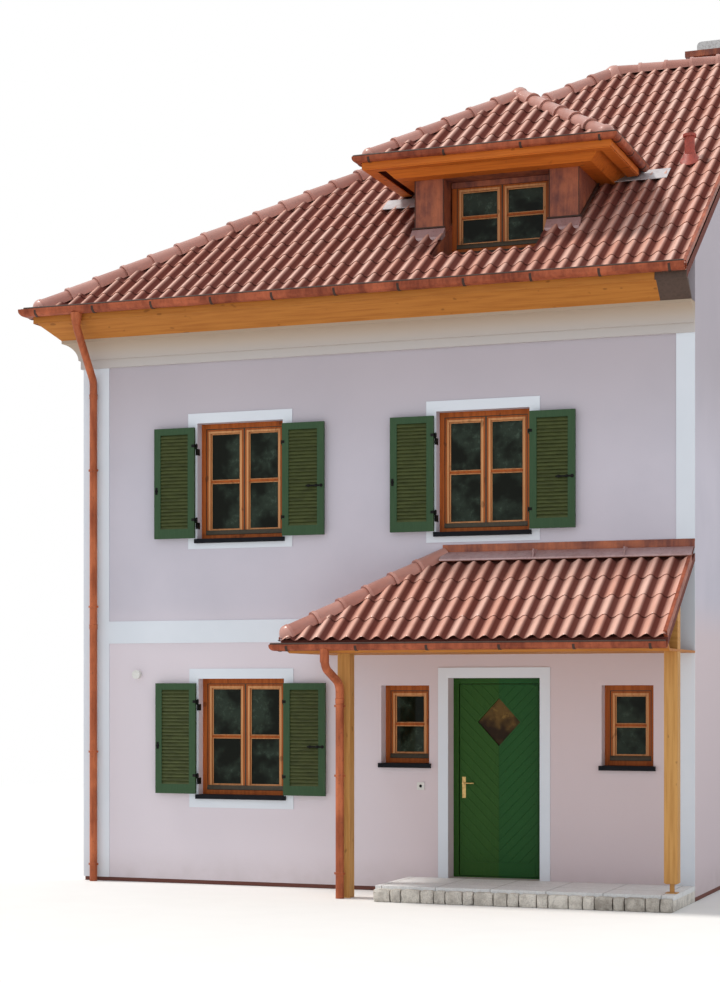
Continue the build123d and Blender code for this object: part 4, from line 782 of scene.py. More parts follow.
def put(
    name: str,
    mesh: bpy.types.Mesh,
    finish: Finish,
    body: str = "house",
    stands_for: Sequence[str] = (),
    crease: float = 35.0,
) -> None:
    """Places a finished piece.

    Args:
        name: The piece's name.
        mesh: Its mesh, in the row frame.
        finish: Its finish.
        body: The CAD body that it rides on.
        stands_for: CAD nodes that it replaces.
        crease: The angle in degrees above which an edge stays sharp, or 0 for flat faces.
    """
    if crease:
        mesh.polygons.foreach_set("use_smooth", [True] * len(mesh.polygons))
        mesh.set_sharp_from_angle(angle=math.radians(crease))
    mesh.materials.clear()
    mesh.materials.append(finish.material())
    piece = bpy.data.objects.new(name, mesh)
    bpy.context.scene.collection.objects.link(piece)
    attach(piece, body)
    if stands_for:
        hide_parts(*stands_for)
    log.info("%s: %d faces", name, len(mesh.polygons))


class Growth(NodeBook):
    """A Geometry Nodes tree with named inputs, which turns a mesh into another."""

    def __init__(self, name: str, sizes: dict[str, str]) -> None:
        """Starts the tree.

        Args:
            name: Its name.
            sizes: The type of each input, by name.
        """
        super().__init__(bpy.data.node_groups.new(name, "GeometryNodeTree"))
        face = self.tree.interface
        face.new_socket("Geometry", in_out="OUTPUT", socket_type="NodeSocketGeometry")
        self.keys = {}
        for title, kind in {"Shape": "Geometry", **sizes, "Finish": "Material"}.items():
            made = face.new_socket(title, in_out="INPUT", socket_type=f"NodeSocket{kind}")
            self.keys[title] = made.identifier
        entry = self.tree.nodes.new("NodeGroupInput")
        self.entry = {s.name: Wire(self, s) for s in entry.outputs if s.name}

    def end(self, shape: Wire) -> None:
        """Closes the tree with Realize Instances and Set Material."""
        real = self.node("GeometryNodeRealizeInstances", {}, {0: shape})
        dressed = self.node("GeometryNodeSetMaterial", {}, {0: real, "Material": self.entry["Finish"]})
        self.node("NodeGroupOutput", {}, {0: dressed})

    def grow(self, name: str, base: bpy.types.Mesh, finish: Finish, **sizes: object) -> bpy.types.Mesh:
        """Runs the tree.

        Args:
            name: The new mesh's name.
            base: The mesh that it starts from.
            finish: The finish it ends with.
            sizes: The inputs' values, by name with _ for a space.

        Returns:
            The plain mesh.
        """
        carrier = bpy.data.objects.new(name, base)
        bpy.context.scene.collection.objects.link(carrier)
        way = carrier.modifiers.new("growth", "NODES")
        way.node_group = self.tree
        way[self.keys["Finish"]] = finish.material()
        for title, value in sizes.items():
            way[self.keys[title.replace("_", " ")]] = value
        graph = bpy.context.evaluated_depsgraph_get()
        made = bpy.data.meshes.new_from_object(carrier.evaluated_get(graph), depsgraph=graph)
        bpy.data.objects.remove(carrier)
        made.name = name
        return made


def repeat_growth() -> Growth:
    """Returns the tree that repeats a shape in columns and rows, each a little turned and toned."""
    tree = Growth(
        "repeat",
        {
            "Columns": "Int", "Rows": "Int", "Step": "Vector", "Row Step": "Vector",
            "Turn": "Float", "Seed": "Int",
        },
    )
    entry = tree.entry
    count = entry["Columns"] * entry["Rows"]
    number = tree.node("GeometryNodeInputIndex")
    column = number.modulo(entry["Columns"])
    row = (number / entry["Columns"]).floor()
    scale = {"operation": "SCALE"}
    across = tree.node("ShaderNodeVectorMath", scale, {0: entry["Step"], "Scale": column})
    upward = tree.node("ShaderNodeVectorMath", scale, {0: entry["Row Step"], "Scale": row})
    place = tree.node("ShaderNodeVectorMath", {"operation": "ADD"}, {0: across, 1: upward})
    points = tree.node("GeometryNodePoints", {}, {"Count": count, "Position": place})
    most = tree.node("ShaderNodeCombineXYZ", {}, {i: entry["Turn"] for i in range(3)})
    least = tree.node("ShaderNodeVectorMath", scale, {0: most, "Scale": -1.0})
    turn = tree.node(
        "FunctionNodeRandomValue",
        {"data_type": "FLOAT_VECTOR"},
        {0: least, 1: most, "Seed": entry["Seed"]},
    )
    shapes = tree.node(
        "GeometryNodeInstanceOnPoints",
        {},
        {"Points": points, "Instance": entry["Shape"], "Rotation": turn},
    )
    tone = tree.node("FunctionNodeRandomValue", {"data_type": "FLOAT"}, {"Seed": entry["Seed"] + 7}, 1)
    toned = tree.node(
        "GeometryNodeStoreNamedAttribute",
        {"data_type": "FLOAT", "domain": "INSTANCE"},
        {0: shapes, "Name": "tone", "Value": tone},
    )
    tree.end(toned)
    return tree


def pipe_growth() -> Growth:
    """Returns the tree that runs a round pipe along a line of points, with bent corners."""
    tree = Growth("pipe", {"Radius": "Float", "Bend": "Float", "Bend Steps": "Int", "Sides": "Int"})
    entry = tree.entry
    line = tree.node("GeometryNodeMeshToCurve", {}, {0: entry["Shape"]})
    bent = tree.node(
        "GeometryNodeFilletCurve",
        {"mode": "POLY"},
        {"Curve": line, "Count": entry["Bend Steps"], "Radius": entry["Bend"], "Limit Radius": True},
    )
    ring = tree.node(
        "GeometryNodeCurvePrimitiveCircle",
        {"mode": "RADIUS"},
        {"Resolution": entry["Sides"], "Radius": entry["Radius"]},
    )
    skin = tree.node(
        "GeometryNodeCurveToMesh", {}, {"Curve": bent, "Profile Curve": ring, "Fill Caps": True}
    )
    tree.end(skin)
    return tree


REPEAT = repeat_growth()
PIPE = pipe_growth()


def row_of(
    name: str, shape: bpy.types.Mesh, finish: Finish, count: int, step: Point, turn: float = 0.0, seed: int = 1
) -> bpy.types.Mesh:
    """Returns one row of equal shapes.

    Args:
        name: The new mesh's name.
        shape: What is repeated.
        finish: Its finish.
        count: How many there are.
        step: From one to the next.
        turn: How far each is turned at random, in radians.
        seed: Of the random turns and tones.

    Returns:
        The row.
    """
    return REPEAT.grow(
        name, shape, finish, Columns=count, Rows=1, Step=step, Row_Step=(0.0, 0.0, 0.0), Turn=turn, Seed=seed
    )


def line_through(name: str, points: Sequence[Point]) -> bpy.types.Mesh:
    """Returns a mesh line through points, for the pipe tree."""
    line = bpy.data.meshes.new(name)
    line.from_pydata(points, [(i, i + 1) for i in range(len(points) - 1)], [])
    return line


def slope_z(y: float, above: float = 0.0) -> float:
    """Returns the height of the main front and back slope's plane at y, and above it."""
    return RIDGE_Z - abs(y) * RISE + above


def basis(start: Sequence[float], along: Vector, up: Vector) -> Matrix:
    """Returns the matrix of a place whose x runs along, whose y runs up, and whose z is across both."""
    x = Vector(along).normalized()
    z = x.cross(Vector(up)).normalized()
    y = z.cross(x)
    turn = Matrix((x, y, z)).transposed().to_4x4()
    return Matrix.Translation(start) @ turn


def trimmed(
    mesh: bpy.types.Mesh, outline: Sequence[tuple[float, float]], holes: Sequence[Sequence[tuple[float, float]]]
) -> None:
    """Cuts a flat field of shapes to an outline.

    Args:
        mesh: The field, along x and y.
        outline: Its corners, anticlockwise.
        holes: Outlines that are cut out, anticlockwise.
    """
    work = bmesh.new()
    work.from_mesh(mesh)
    for (ax, ay), (bx, by) in zip(outline, [*outline[1:], outline[0]]):
        out = Vector((by - ay, ax - bx, 0.0))
        everything = [*work.verts, *work.edges, *work.faces]
        bmesh.ops.bisect_plane(
            work, geom=everything, plane_co=(ax, ay, 0), plane_no=out, clear_outer=True
        )
    for hole in holes:
        planes = []
        for (ax, ay), (bx, by) in zip(hole, [*hole[1:], hole[0]]):
            planes.append((Vector((ax, ay, 0)), Vector((by - ay, ax - bx, 0.0)).normalized()))
        xs, ys = [p[0] for p in hole], [p[1] for p in hole]
        for place, out in planes:
            near = [
                f for f in work.faces
                if min(xs) - 0.3 < f.calc_center_median().x < max(xs) + 0.3
                and min(ys) - 0.5 < f.calc_center_median().y < max(ys) + 0.5
            ]
            parts = {*near, *(e for f in near for e in f.edges), *(v for f in near for v in f.verts)}
            bmesh.ops.bisect_plane(work, geom=list(parts), plane_co=place, plane_no=out)
        inside = [
            f for f in work.faces
            if all((f.calc_center_median() - place).dot(out) < 0 for place, out in planes)
        ]
        bmesh.ops.delete(work, geom=inside, context="FACES")
    work.to_mesh(mesh)
    work.free()


@dataclass
class TileSlope:
    """Wavy clay tiles over one slope.

    Attributes:
        name: The piece's name.
        start: The outline's first point, on the slope's top plane.
        along: The way of the eave.
        up: The way up the slope.
        outline: The slope's corners from start, anticlockwise, in metres.
        holes: What the tiles leave out.
        pitch: Width of one wave.
        course: Length that shows of one tile.
        lap: Length that the next tile covers.
        wave: Height of the wave.
        lift: How far the tail stands above the head.
        edge: Thickness of the tail's edge.
        reach: How far the lowest tiles stand out over the gutter.
        seed: Of the tiles' random turns and tones.
        shade_by_share: How much painted shade each station across a tile takes, by its share of the pitch: full
            in the trough and on the steep flank after the crest.
    """

    name: str
    start: Point
    along: Point
    up: Point
    outline: list[tuple[float, float]]
    holes: list[list[tuple[float, float]]] = field(default_factory=list)
    pitch: float = 0.168
    course: float = 0.385
    lap: float = 0.03
    wave: float = 0.050
    lift: float = 0.015
    edge: float = 0.011
    reach: float = 0.03
    seed: int = 3
    shade_by_share: ClassVar[dict[float, float]] = {
        0.0: 1.0, 0.14: 0.62, 0.28: 0.08, 0.40: 0.0, 0.51: 0.0,
        0.62: 0.2, 0.71: 0.75, 0.79: 1.0, 0.88: 1.0, 1.0: 1.0,
    }

    def height(self, share: float) -> float:
        """Returns the wave's height at a share of the pitch, steeper after its crest."""
        crest = 0.62
        turn = share / crest * 0.5 if share < crest else 0.5 + (share - crest) / (1 - crest) * 0.5
        return self.wave * (0.5 - 0.5 * math.cos(2 * math.pi * turn))

    def tile(self) -> bpy.types.Mesh:
        """Returns one tile with its rounded tail and its thick edge."""
        under = self.lift - self.edge
        stations = [(0.006, under), (0.0, self.lift), (0.014, self.lift + 0.004),
                    (self.course + self.lap, 0.004)]
        shaper = Shaper()
        shaper.strip([
            [Vector((share * self.pitch, y, self.height(share) + z)) for share in self.shade_by_share]
            for y, z in stations
        ])
        mesh = shaper.mesh(self.name + "_tile")
        painted_shade = mesh.attributes.new("painted_shade", "FLOAT", "POINT")
        for vertex, value in zip(mesh.vertices, painted_shade.data):
            share = vertex.co.x / self.pitch
            # The front edge takes full painted shade, for the shadow under each tile's tail.
            edge = vertex.co.y < 0.01 and vertex.co.z < self.height(share) + under + 0.0005
            value.value = 1.0 if edge else self.shade_by_share[round(share, 2)]
        return mesh

    def build(self) -> None:
        """Lays the tiles and cuts them to the slope."""
        width = max(u for u, _ in self.outline)
        length = max(v for _, v in self.outline)
        field_mesh = REPEAT.grow(
            self.name, self.tile(), CLAY,
            Columns=math.ceil(width / self.pitch) + 1, Rows=math.ceil(length / self.course) + 1,
            Step=(self.pitch, 0.0, 0.0), Row_Step=(0.0, self.course, 0.0), Turn=0.004, Seed=self.seed,
        )
        field_mesh.transform(Matrix.Translation((0.0, -self.reach, 0.0)))
        edge = [(u, -self.reach if v == 0 else v) for u, v in self.outline]
        trimmed(field_mesh, edge, self.holes)
        field_mesh.transform(basis(self.start, Vector(self.along), Vector(self.up)))
        put(self.name, field_mesh, CLAY, crease=50.0)


@dataclass
class CapRun:
    """Barrel tiles along one hip or ridge.

    Attributes:
        low: The run's lower end on the roof's planes.
        high: Its upper end.
        closed_start: Whether the lowest cap has a rounded end.
        pitch: Length that shows of one cap.
        radius: Half width of a cap's tail.
        taper: How much narrower its head is.
        collar: How far the collar stands out.
        above: Height of its middle above the line.
        overlap: How far a cap's head goes under the next one.
    """

    low: Point
    high: Point
    closed_start: bool = True
    pitch: float = 0.37
    radius: float = 0.116
    taper: float = 0.016
    collar: float = 0.009
    above: float = 0.018
    overlap: float = 0.05

    def ring(self, x: float, radius: float) -> list[Vector]:
        """Returns one arched row of a cap."""
        turns = [math.radians(-104 + 208 * i / 10) for i in range(11)]
        return [Vector((x, -radius * math.sin(a), radius * math.cos(a) + self.above)) for a in turns]

    def cap(self) -> bpy.types.Mesh:
        """Returns one cap with its collar and the thick edge of its tail."""
        tail, head = self.radius, self.radius - self.taper
        shaper = Shaper()
        shaper.strip([
            self.ring(0.004, tail - 0.012), self.ring(0.0, tail + self.collar),
            self.ring(0.036, tail + self.collar), self.ring(0.046, tail),
            self.ring(self.pitch + self.overlap, head),
        ])
        return shaper.mesh("cap")

    def dome(self) -> bpy.types.Mesh:
        """Returns the rounded end of the lowest cap."""
        shaper = Shaper()
        size = self.radius + self.collar
        rows = []
        for step in range(6):
            a = math.pi / 2 * step / 5
            rows.append(self.ring(-0.75 * size * math.cos(a), max(0.004, size * math.sin(a))))
        shaper.strip(rows)
        return shaper.mesh("cap_end")

    def build(self) -> bpy.types.Mesh:
        """Returns the run's mesh in the row frame."""
        start, end = Vector(self.low), Vector(self.high)
        way = (end - start).normalized()
        begin = 0.10 if self.closed_start else 0.0
        reach = (end - start).length - begin
        count = max(1, round(reach / self.pitch))
        self.pitch = reach / count
        run = row_of("cap_run", self.cap(), CAP_CLAY, count, (self.pitch, 0.0, 0.0), 0.006, 5)
        whole = joined("cap_run", [run, self.dome()] if self.closed_start else [run])
        level = Vector((-way.y, way.x, 0.0)).normalized()
        whole.transform(basis(start + way * begin, way, level))
        return whole


@dataclass
class Roof:
    """The tiles and the caps of the main roof, the dormer and the porch.

    Attributes:
        niche: What the front tiles leave out for the niche, from x to x and from y to y.
        piers: What they leave out for the piers and the cheeks.
        porch_flashing: How far below the wall the porch's tiles end, in plan.
    """

    niche: tuple[float, float, float, float] = (0.60, 1.80, -4.93, -4.3)
    piers: tuple[float, float, float, float] = (0.26, 2.14, -4.34, -2.95)
    porch_flashing: float = 0.135

    def slopes(self) -> list[TileSlope]:
        """Returns the tiled slopes."""
        cos, sin = math.cos(PITCH), math.sin(PITCH)
        run, front_length = NORTH / cos, RIGHT - WEST
        top = DORMER_HALF / cos
        valley = (DORMER_EAVE_Z - EAVE_Z) / RISE + SOUTH
        nose = valley - DORMER_FRONT
        under = (PORCH_REACH - self.porch_flashing) / cos
        holes = [
            [(x - WEST, (y - SOUTH) / cos) for x, y in ((x0, y0), (x1, y0), (x1, y1), (x0, y1))]
            for x0, x1, y0, y1 in (self.niche, self.piers)
        ]
        east, north, south = (1, 0, 0), (0, 1, 0), (0, -1, 0)
        up_north, up_east = (0, cos, sin), (cos, 0, sin)
        return [
            TileSlope("front_tiles", (WEST, SOUTH, EAVE_Z), east, up_north,
                      [(0, 0), (front_length, 0), (front_length, run), (NORTH, run)], holes, seed=3),
            TileSlope("side_tiles", (WEST, NORTH, EAVE_Z), south, up_east,
                      [(0, 0), (2 * NORTH, 0), (NORTH, run)], seed=4),
            TileSlope("back_tiles", (RIGHT, NORTH, EAVE_Z), (-1, 0, 0), (0, -cos, sin),
                      [(0, 0), (front_length, 0), (front_length - NORTH, run), (0, run)], seed=5),
            TileSlope("dormer_front_tiles", (DORMER_W, DORMER_FRONT, DORMER_EAVE_Z), east, up_north,
                      [(0, 0), (2 * DORMER_HALF, 0), (DORMER_HALF, top)], seed=6),
            TileSlope("dormer_left_tiles", (DORMER_W, valley + DORMER_HALF, DORMER_EAVE_Z), south, up_east,
                      [(DORMER_HALF, 0), (DORMER_HALF + nose, 0), (nose, top), (0, top)], seed=7),
            TileSlope("dormer_right_tiles", (DORMER_E, DORMER_FRONT, DORMER_EAVE_Z), north, (-cos, 0, sin),
                      [(0, 0), (nose, 0), (DORMER_HALF + nose, top), (DORMER_HALF, top)], seed=8),
            TileSlope("porch_front_tiles", (PORCH_X, PORCH_FRONT, PORCH_EAVE_Z), east, up_north,
                      [(0, 0), (RIGHT - PORCH_X, 0), (RIGHT - PORCH_X, under),
                       (PORCH_REACH - self.porch_flashing, under)], seed=9),
            TileSlope("porch_side_tiles", (PORCH_X, FRONT, PORCH_EAVE_Z), south, up_east,
                      [(0, 0), (PORCH_REACH, 0), (0, PORCH_REACH / cos)], seed=10),
        ]

    def knob(self, place: Point, size: float) -> bpy.types.Mesh:
        """Returns the rounded piece where runs of caps meet, of that radius."""
        stations = [(-0.10, 1.0), (-0.02, 1.02), (0.04, 0.93), (0.09, 0.72), (0.125, 0.42), (0.14, 0.05)]
        points = [Vector(place) + Vector((0, 0, z * size / 0.15)) for z, _ in stations]
        shaper = Shaper()
        shaper.tube(points, [size * share for _, share in stations], 20)
        return shaper.mesh("knob")

    def caps(self) -> bpy.types.Mesh:
        """Returns every hip and ridge run as one mesh."""
        apex = (APEX_X, 0.0, RIDGE_Z)
        peak = (DORMER_X, DORMER_FRONT + DORMER_HALF, DORMER_TOP_Z)
        meet = (DORMER_TOP_Z - EAVE_Z) / RISE + SOUTH
        ridge_end = RIGHT - CapRun.overlap - 0.001
        runs = [
            CapRun((WEST, SOUTH, EAVE_Z), apex),
            CapRun((WEST, NORTH, EAVE_Z), apex),
            CapRun(apex, (ridge_end, 0.0, RIDGE_Z), closed_start=False),
            CapRun((DORMER_W, DORMER_FRONT, DORMER_EAVE_Z), peak, radius=0.098),
            CapRun((DORMER_E, DORMER_FRONT, DORMER_EAVE_Z), peak, radius=0.098),
            CapRun(peak, (DORMER_X, meet, DORMER_TOP_Z), closed_start=False, radius=0.104),
            CapRun((PORCH_X, PORCH_FRONT, PORCH_EAVE_Z), (PORCH_X + PORCH_REACH, FRONT, PORCH_TOP_Z),
                   radius=0.105),
        ]
        knobs = [self.knob(apex, 0.155), self.knob(peak, 0.132)]
        return joined("roof_caps", [run.build() for run in runs] + knobs)

    def build(self) -> None:
        """Lays the roof."""
        for slope in self.slopes():
            slope.build()
        put("roof_caps", self.caps(), CAP_CLAY, stands_for=["hip_and_ridge_caps"], crease=40.0)


@dataclass
class Downpipe:
    """A round copper downpipe with a swan neck, sockets and clamps.

    Attributes:
        points: Its corners, from the gutter to the ground.
        clamps: Heights of its clamps.
        wall: The y of the face that the clamps go to.
        sockets: Heights of its joints.
        radius: The pipe's radius.
        bend: Radius of its bends.
    """

    points: list[Point]
    clamps: list[float]
    wall: float
    sockets: list[float]
    radius: float = 0.045
    bend: float = 0.14

    def build(self) -> bpy.types.Mesh:
        """Returns the pipe's mesh."""
        line = line_through("pipe_line", self.points)
        tube = PIPE.grow("pipe", line, PIPE_COPPER, Radius=self.radius, Bend=self.bend, Bend_Steps=6, Sides=20)
        shaper = Shaper()
        x, y, _ = self.points[-1]
        socket = [(-0.05, 0.0), (-0.045, 0.004), (-0.004, 0.004), (0.0, 0.0065), (0.006, 0.0065), (0.01, 0.0)]
        clamp = [(-0.014, 0.0), (-0.013, 0.005), (0.013, 0.005), (0.014, 0.0)]
        for z, rise in [(z, socket) for z in self.sockets] + [(z, clamp) for z in self.clamps]:
            shaper.tube([Vector((x, y, z + h)) for h, _ in rise], [self.radius + r for _, r in rise], 20)
        for z in self.clamps:
            back = [Vector((x, y + self.radius, z)), Vector((x, self.wall + 0.004, z))]
            shaper.tube(back, [0.007, 0.007], 8)
            for side in (-1, 1):
                ear = x + side * (self.radius + 0.004)
                shaper.block((ear - 0.014, y - 0.004, z - 0.012), (ear + 0.014, y + 0.004, z + 0.012), 0.0015)
        return joined("downpipe", [tube, shaper.mesh("clamps", outward=True)])


def islands(node: str) -> list[tuple[Vector, Vector]]:
    """Returns the lowest and the highest corner of each separate solid of a CAD node."""
    work = bmesh.new()
    work.from_mesh(frame["nodes"][node].data)
    bmesh.ops.remove_doubles(work, verts=work.verts, dist=0.0001)
    seen: set[int] = set()
    found = []
    for first in work.verts:
        if first.index in seen:
            continue
        seen.add(first.index)
        group, line = [], [first]
        while line:
            vertex = line.pop()
            group.append(vertex.co.copy())
            for edge in vertex.link_edges:
                other = edge.other_vert(vertex)
                if other.index not in seen:
                    seen.add(other.index)
                    line.append(other)
        low = Vector(min(p[i] for p in group) for i in range(3))
        high = Vector(max(p[i] for p in group) for i in range(3))
        found.append((low, high))
    work.free()
    return found


@dataclass(frozen=True)
class Face:
    """The outer face of a flat upright solid on a wall, seen from outside.

    Attributes:
        start: Its lower left corner.
        along: The way to its right.
        width: Its width.
        height: Its height.
    """

    start: Vector
    along: Vector
    width: float
    height: float

    @classmethod
    def of(cls, low: Vector, high: Vector) -> "Face":
        """Returns the face of a solid between two corners, on the front, the side or the back."""
        size = high - low
        if size.x < size.y:
            return cls(Vector((low.x, high.y, low.z)), Vector((0, -1, 0)), size.y, size.z)
        if low.y < 0:
            return cls(Vector(low), Vector((1, 0, 0)), size.x, size.z)
        return cls(Vector((high.x, high.y, low.z)), Vector((-1, 0, 0)), size.x, size.z)

    def matrix(self) -> Matrix:
        """Returns its place, with x to the right, y up and z outwards."""
        return basis(self.start, self.along, Vector((0, 0, 1)))


@dataclass
class Joinery:
    """Glazing beads, cover strips, rain bars and dark rings of painted shadow round the sashes of all the
    windows.

    Attributes:
        bead: Width of a bead.
        proud: How far a bead stands out from the glass.
        bar: Width of the glazing bar across each sash.
        sash: Width of the sash.
        depth: From the glass to the sash's face.
        cover: Width of the light moulding round the glass.
        rail: Height of the metal rail at the sash's foot.
    """

    bead: float = 0.012
    proud: float = 0.012
    bar: float = 0.024
    sash: float = 0.055
    depth: float = 0.028
    cover: float = 0.026
    rail: float = 0.054

    def ring(
        self, shaper: Shaper, box: tuple[float, float, float, float], wide: float, low: float, high: float
    ) -> None:
        """Adds a frame of four strips.

        Args:
            shaper: What it is added to.
            box: Its left, right, lower and upper outer edges.
            wide: Width of a strip.
            low: Where a strip starts, from the glass.
            high: Where it ends.
        """
        x0, x1, y0, y1 = box
        ease = min(0.002, (high - low) / 3)
        shaper.block((x0, y0, low), (x0 + wide, y1, high), ease)
        shaper.block((x1 - wide, y0, low), (x1, y1, high), ease)
        shaper.block((x0 + wide, y0, low), (x1 - wide, y0 + wide, high), ease)
        shaper.block((x0 + wide, y1 - wide, low), (x1 - wide, y1, high), ease)

    def build(self) -> None:
        """Makes the beads, the rain bars and the dark rings of painted shadow on every window."""
        beads, bars_and_rings = [], []
        for low, high in islands("window_glass"):
            face = Face.of(low, high)
            half = (face.height - self.bar) / 2
            shaper = Shaper()
            self.ring(shaper, (0.0, face.width, 0.0, half), self.bead, 0.0, self.proud)
            self.ring(shaper, (0.0, face.width, half + self.bar, face.height), self.bead, 0.0, self.proud)
            c, d = self.cover, self.depth
            self.ring(shaper, (-c, face.width + c, -c, face.height + c), c - 0.001, d - 0.001, d + 0.004)
            mesh = shaper.mesh("beads")
            mesh.transform(face.matrix())
            beads.append(mesh)
            shaper = Shaper()
            s = self.sash - 0.0005
            # A dark ring round each sash: painted shadow in the gap to the frame.
            self.ring(shaper, (-s, face.width + s, -s, face.height + s), 0.009, d - 0.001, d + 0.001)
            foot = -self.sash - 0.004
            section = [(0.0, 0.0005), (0.0, 0.014), (0.005, 0.017), (self.rail - 0.012, 0.013),
                       (self.rail, 0.005), (self.rail, 0.0005)]
            shaper.strip([
                [Vector((x, foot + y, d + z)) for y, z in section] for x in (-s, face.width + s)
            ], closed=True, ends=True)
            mesh = shaper.mesh("rail", outward=True)
            mesh.transform(face.matrix())
            bars_and_rings.append(mesh)
        put("window_beads", joined("window_beads", beads), BEAD_WOOD)
        put("rain_bars_and_shadow_rings", joined("rain_bars_and_shadow_rings", bars_and_rings), BRONZE)


@dataclass
class Bell:
    """The round button on the bell's plate.

    Attributes:
        height: The height of its middle.
    """

    height: float = 1.174

    def build(self) -> None:
        """Makes the button on the plate at that height."""
        low, high = next(b for b in islands("wall_fittings") if b[0].z < self.height < b[1].z)
        middle = (low + high) / 2
        shaper = Shaper()
        steps = [(0.0, 0.017), (0.002, 0.017), (0.0035, 0.013), (0.005, 0.012), (0.006, 0.008)]
        shaper.tube([Vector((middle.x, low.y - d, middle.z)) for d, _ in steps], [r for _, r in steps], 20)
        put("bell_button", shaper.mesh("bell_button", outward=True), IRON)


def hinge(leaf: str) -> tuple[float, int, tuple[float, float]]:
    """Returns a leaf's hinge line.

    Args:
        leaf: The leaf's body and node.

    Returns:
        The x of its pins, 1 where it hangs at the window's right and -1 at its left, and the feet of
        its two knuckles.
    """
    low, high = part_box(leaf)
    right = leaf.endswith("_right")
    axis = low.x + KNUCKLE_R if right else high.x - KNUCKLE_R
    return axis, 1 if right else -1, (low.z + 0.190, high.z - 0.234)


@dataclass
class ShutterHardware:
    """The ironwork of one leaf: hinge sleeves, and a knob or a bar that keeps it shut.

    Attributes:
        body: The leaf's body and node.
        height: Share of the leaf's height at which the latch sits.
    """

    body: str
    height: float = 0.435

    def build(self) -> None:
        """Makes the ironwork on its leaf."""
        low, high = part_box(self.body)
        axis, hand, feet = hinge(self.body)
        shaper = Shaper()
        self.latch(shaper, low, high, hand)
        for z in feet:
            shaper.tube([Vector((axis, PIN_Y, z + h)) for h in (0.001, 0.043)], [0.0127, 0.0127], 14)
            near, far = sorted((axis + hand * 0.0065, axis + hand * 0.0138))
            shaper.block((near, low.y - 0.0025, z + 0.002), (far, PIN_Y - 0.01, z + 0.042), 0.001)
            near, far = sorted((axis + hand * 0.0135, axis + hand * 0.046))
            shaper.block((near, low.y - 0.0030, z + 0.006), (far, low.y - 0.0001, z + 0.038), 0.001)
        name = self.body + "_ironwork"
        put(name, shaper.mesh(name, outward=True), IRON, body=self.body)

    def latch(self, shaper: Shaper, low: Vector, high: Vector, hand: int) -> None:
        """Adds a knob and its plate on a left leaf, a knob with a bar in two keepers on a right one.

        Args:
            shaper: What it is added to.
            low: The leaf's lowest corner.
            high: Its highest corner.
            hand: 1 where the leaf hangs at the window's right, and -1 at its left.
        """
        x = high.x - 0.03 if hand > 0 else low.x + 0.03
        y, z = low.y, low.z + (high.z - low.z) * self.height
        steps = [(0.0, 0.019), (0.003, 0.019), (0.005, 0.011), (0.013, 0.010), (0.019, 0.014), (0.024, 0.010)]
        shaper.tube([Vector((x, y - d, z)) for d, _ in steps], [r for _, r in steps], 14)
        if hand < 0:
            shaper.block((x - 0.014, y - 0.005, z - 0.04), (x + 0.014, y - 0.0001, z + 0.04), 0.002)
            return
        shaper.block((x - 0.185, y - 0.010, z - 0.009), (x - 0.012, y - 0.004, z + 0.009), 0.002)
        for at in (x - 0.06, x - 0.15):
            shaper.block((at - 0.012, y - 0.014, z - 0.016), (at + 0.012, y - 0.0001, z + 0.016), 0.002)


@dataclass
class PintlePlates:
    """The iron plates on the reveals, which carry the shutters' pins.

    Attributes:
        tall: Height of a plate.
        deep: How far it goes into the reveal.
        below: How far its top lies under the knuckle.
    """

    tall: float = 0.075
    deep: float = 0.068
    below: float = 0.006

    def build(self) -> None:
        """Makes a plate under each knuckle."""
        shaper = Shaper()
        for body in (name for name in frame["bodies"] if name.startswith("shutter_")):
            axis, hand, feet = hinge(body)
            for foot in feet:
                top = foot - self.below
                for reach, front, back in (
                    (-0.004, SURROUND_Y - 0.003, SURROUND_Y + self.deep),
                    (0.018, SURROUND_Y - 0.004, SURROUND_Y - 0.0005),
                ):
                    near, far = sorted((axis, axis + hand * reach))
                    shaper.block((near, front, top - self.tall), (far, back, top), 0.001)
        put("pintle_plates", shaper.mesh("pintle_plates", outward=True), IRON)


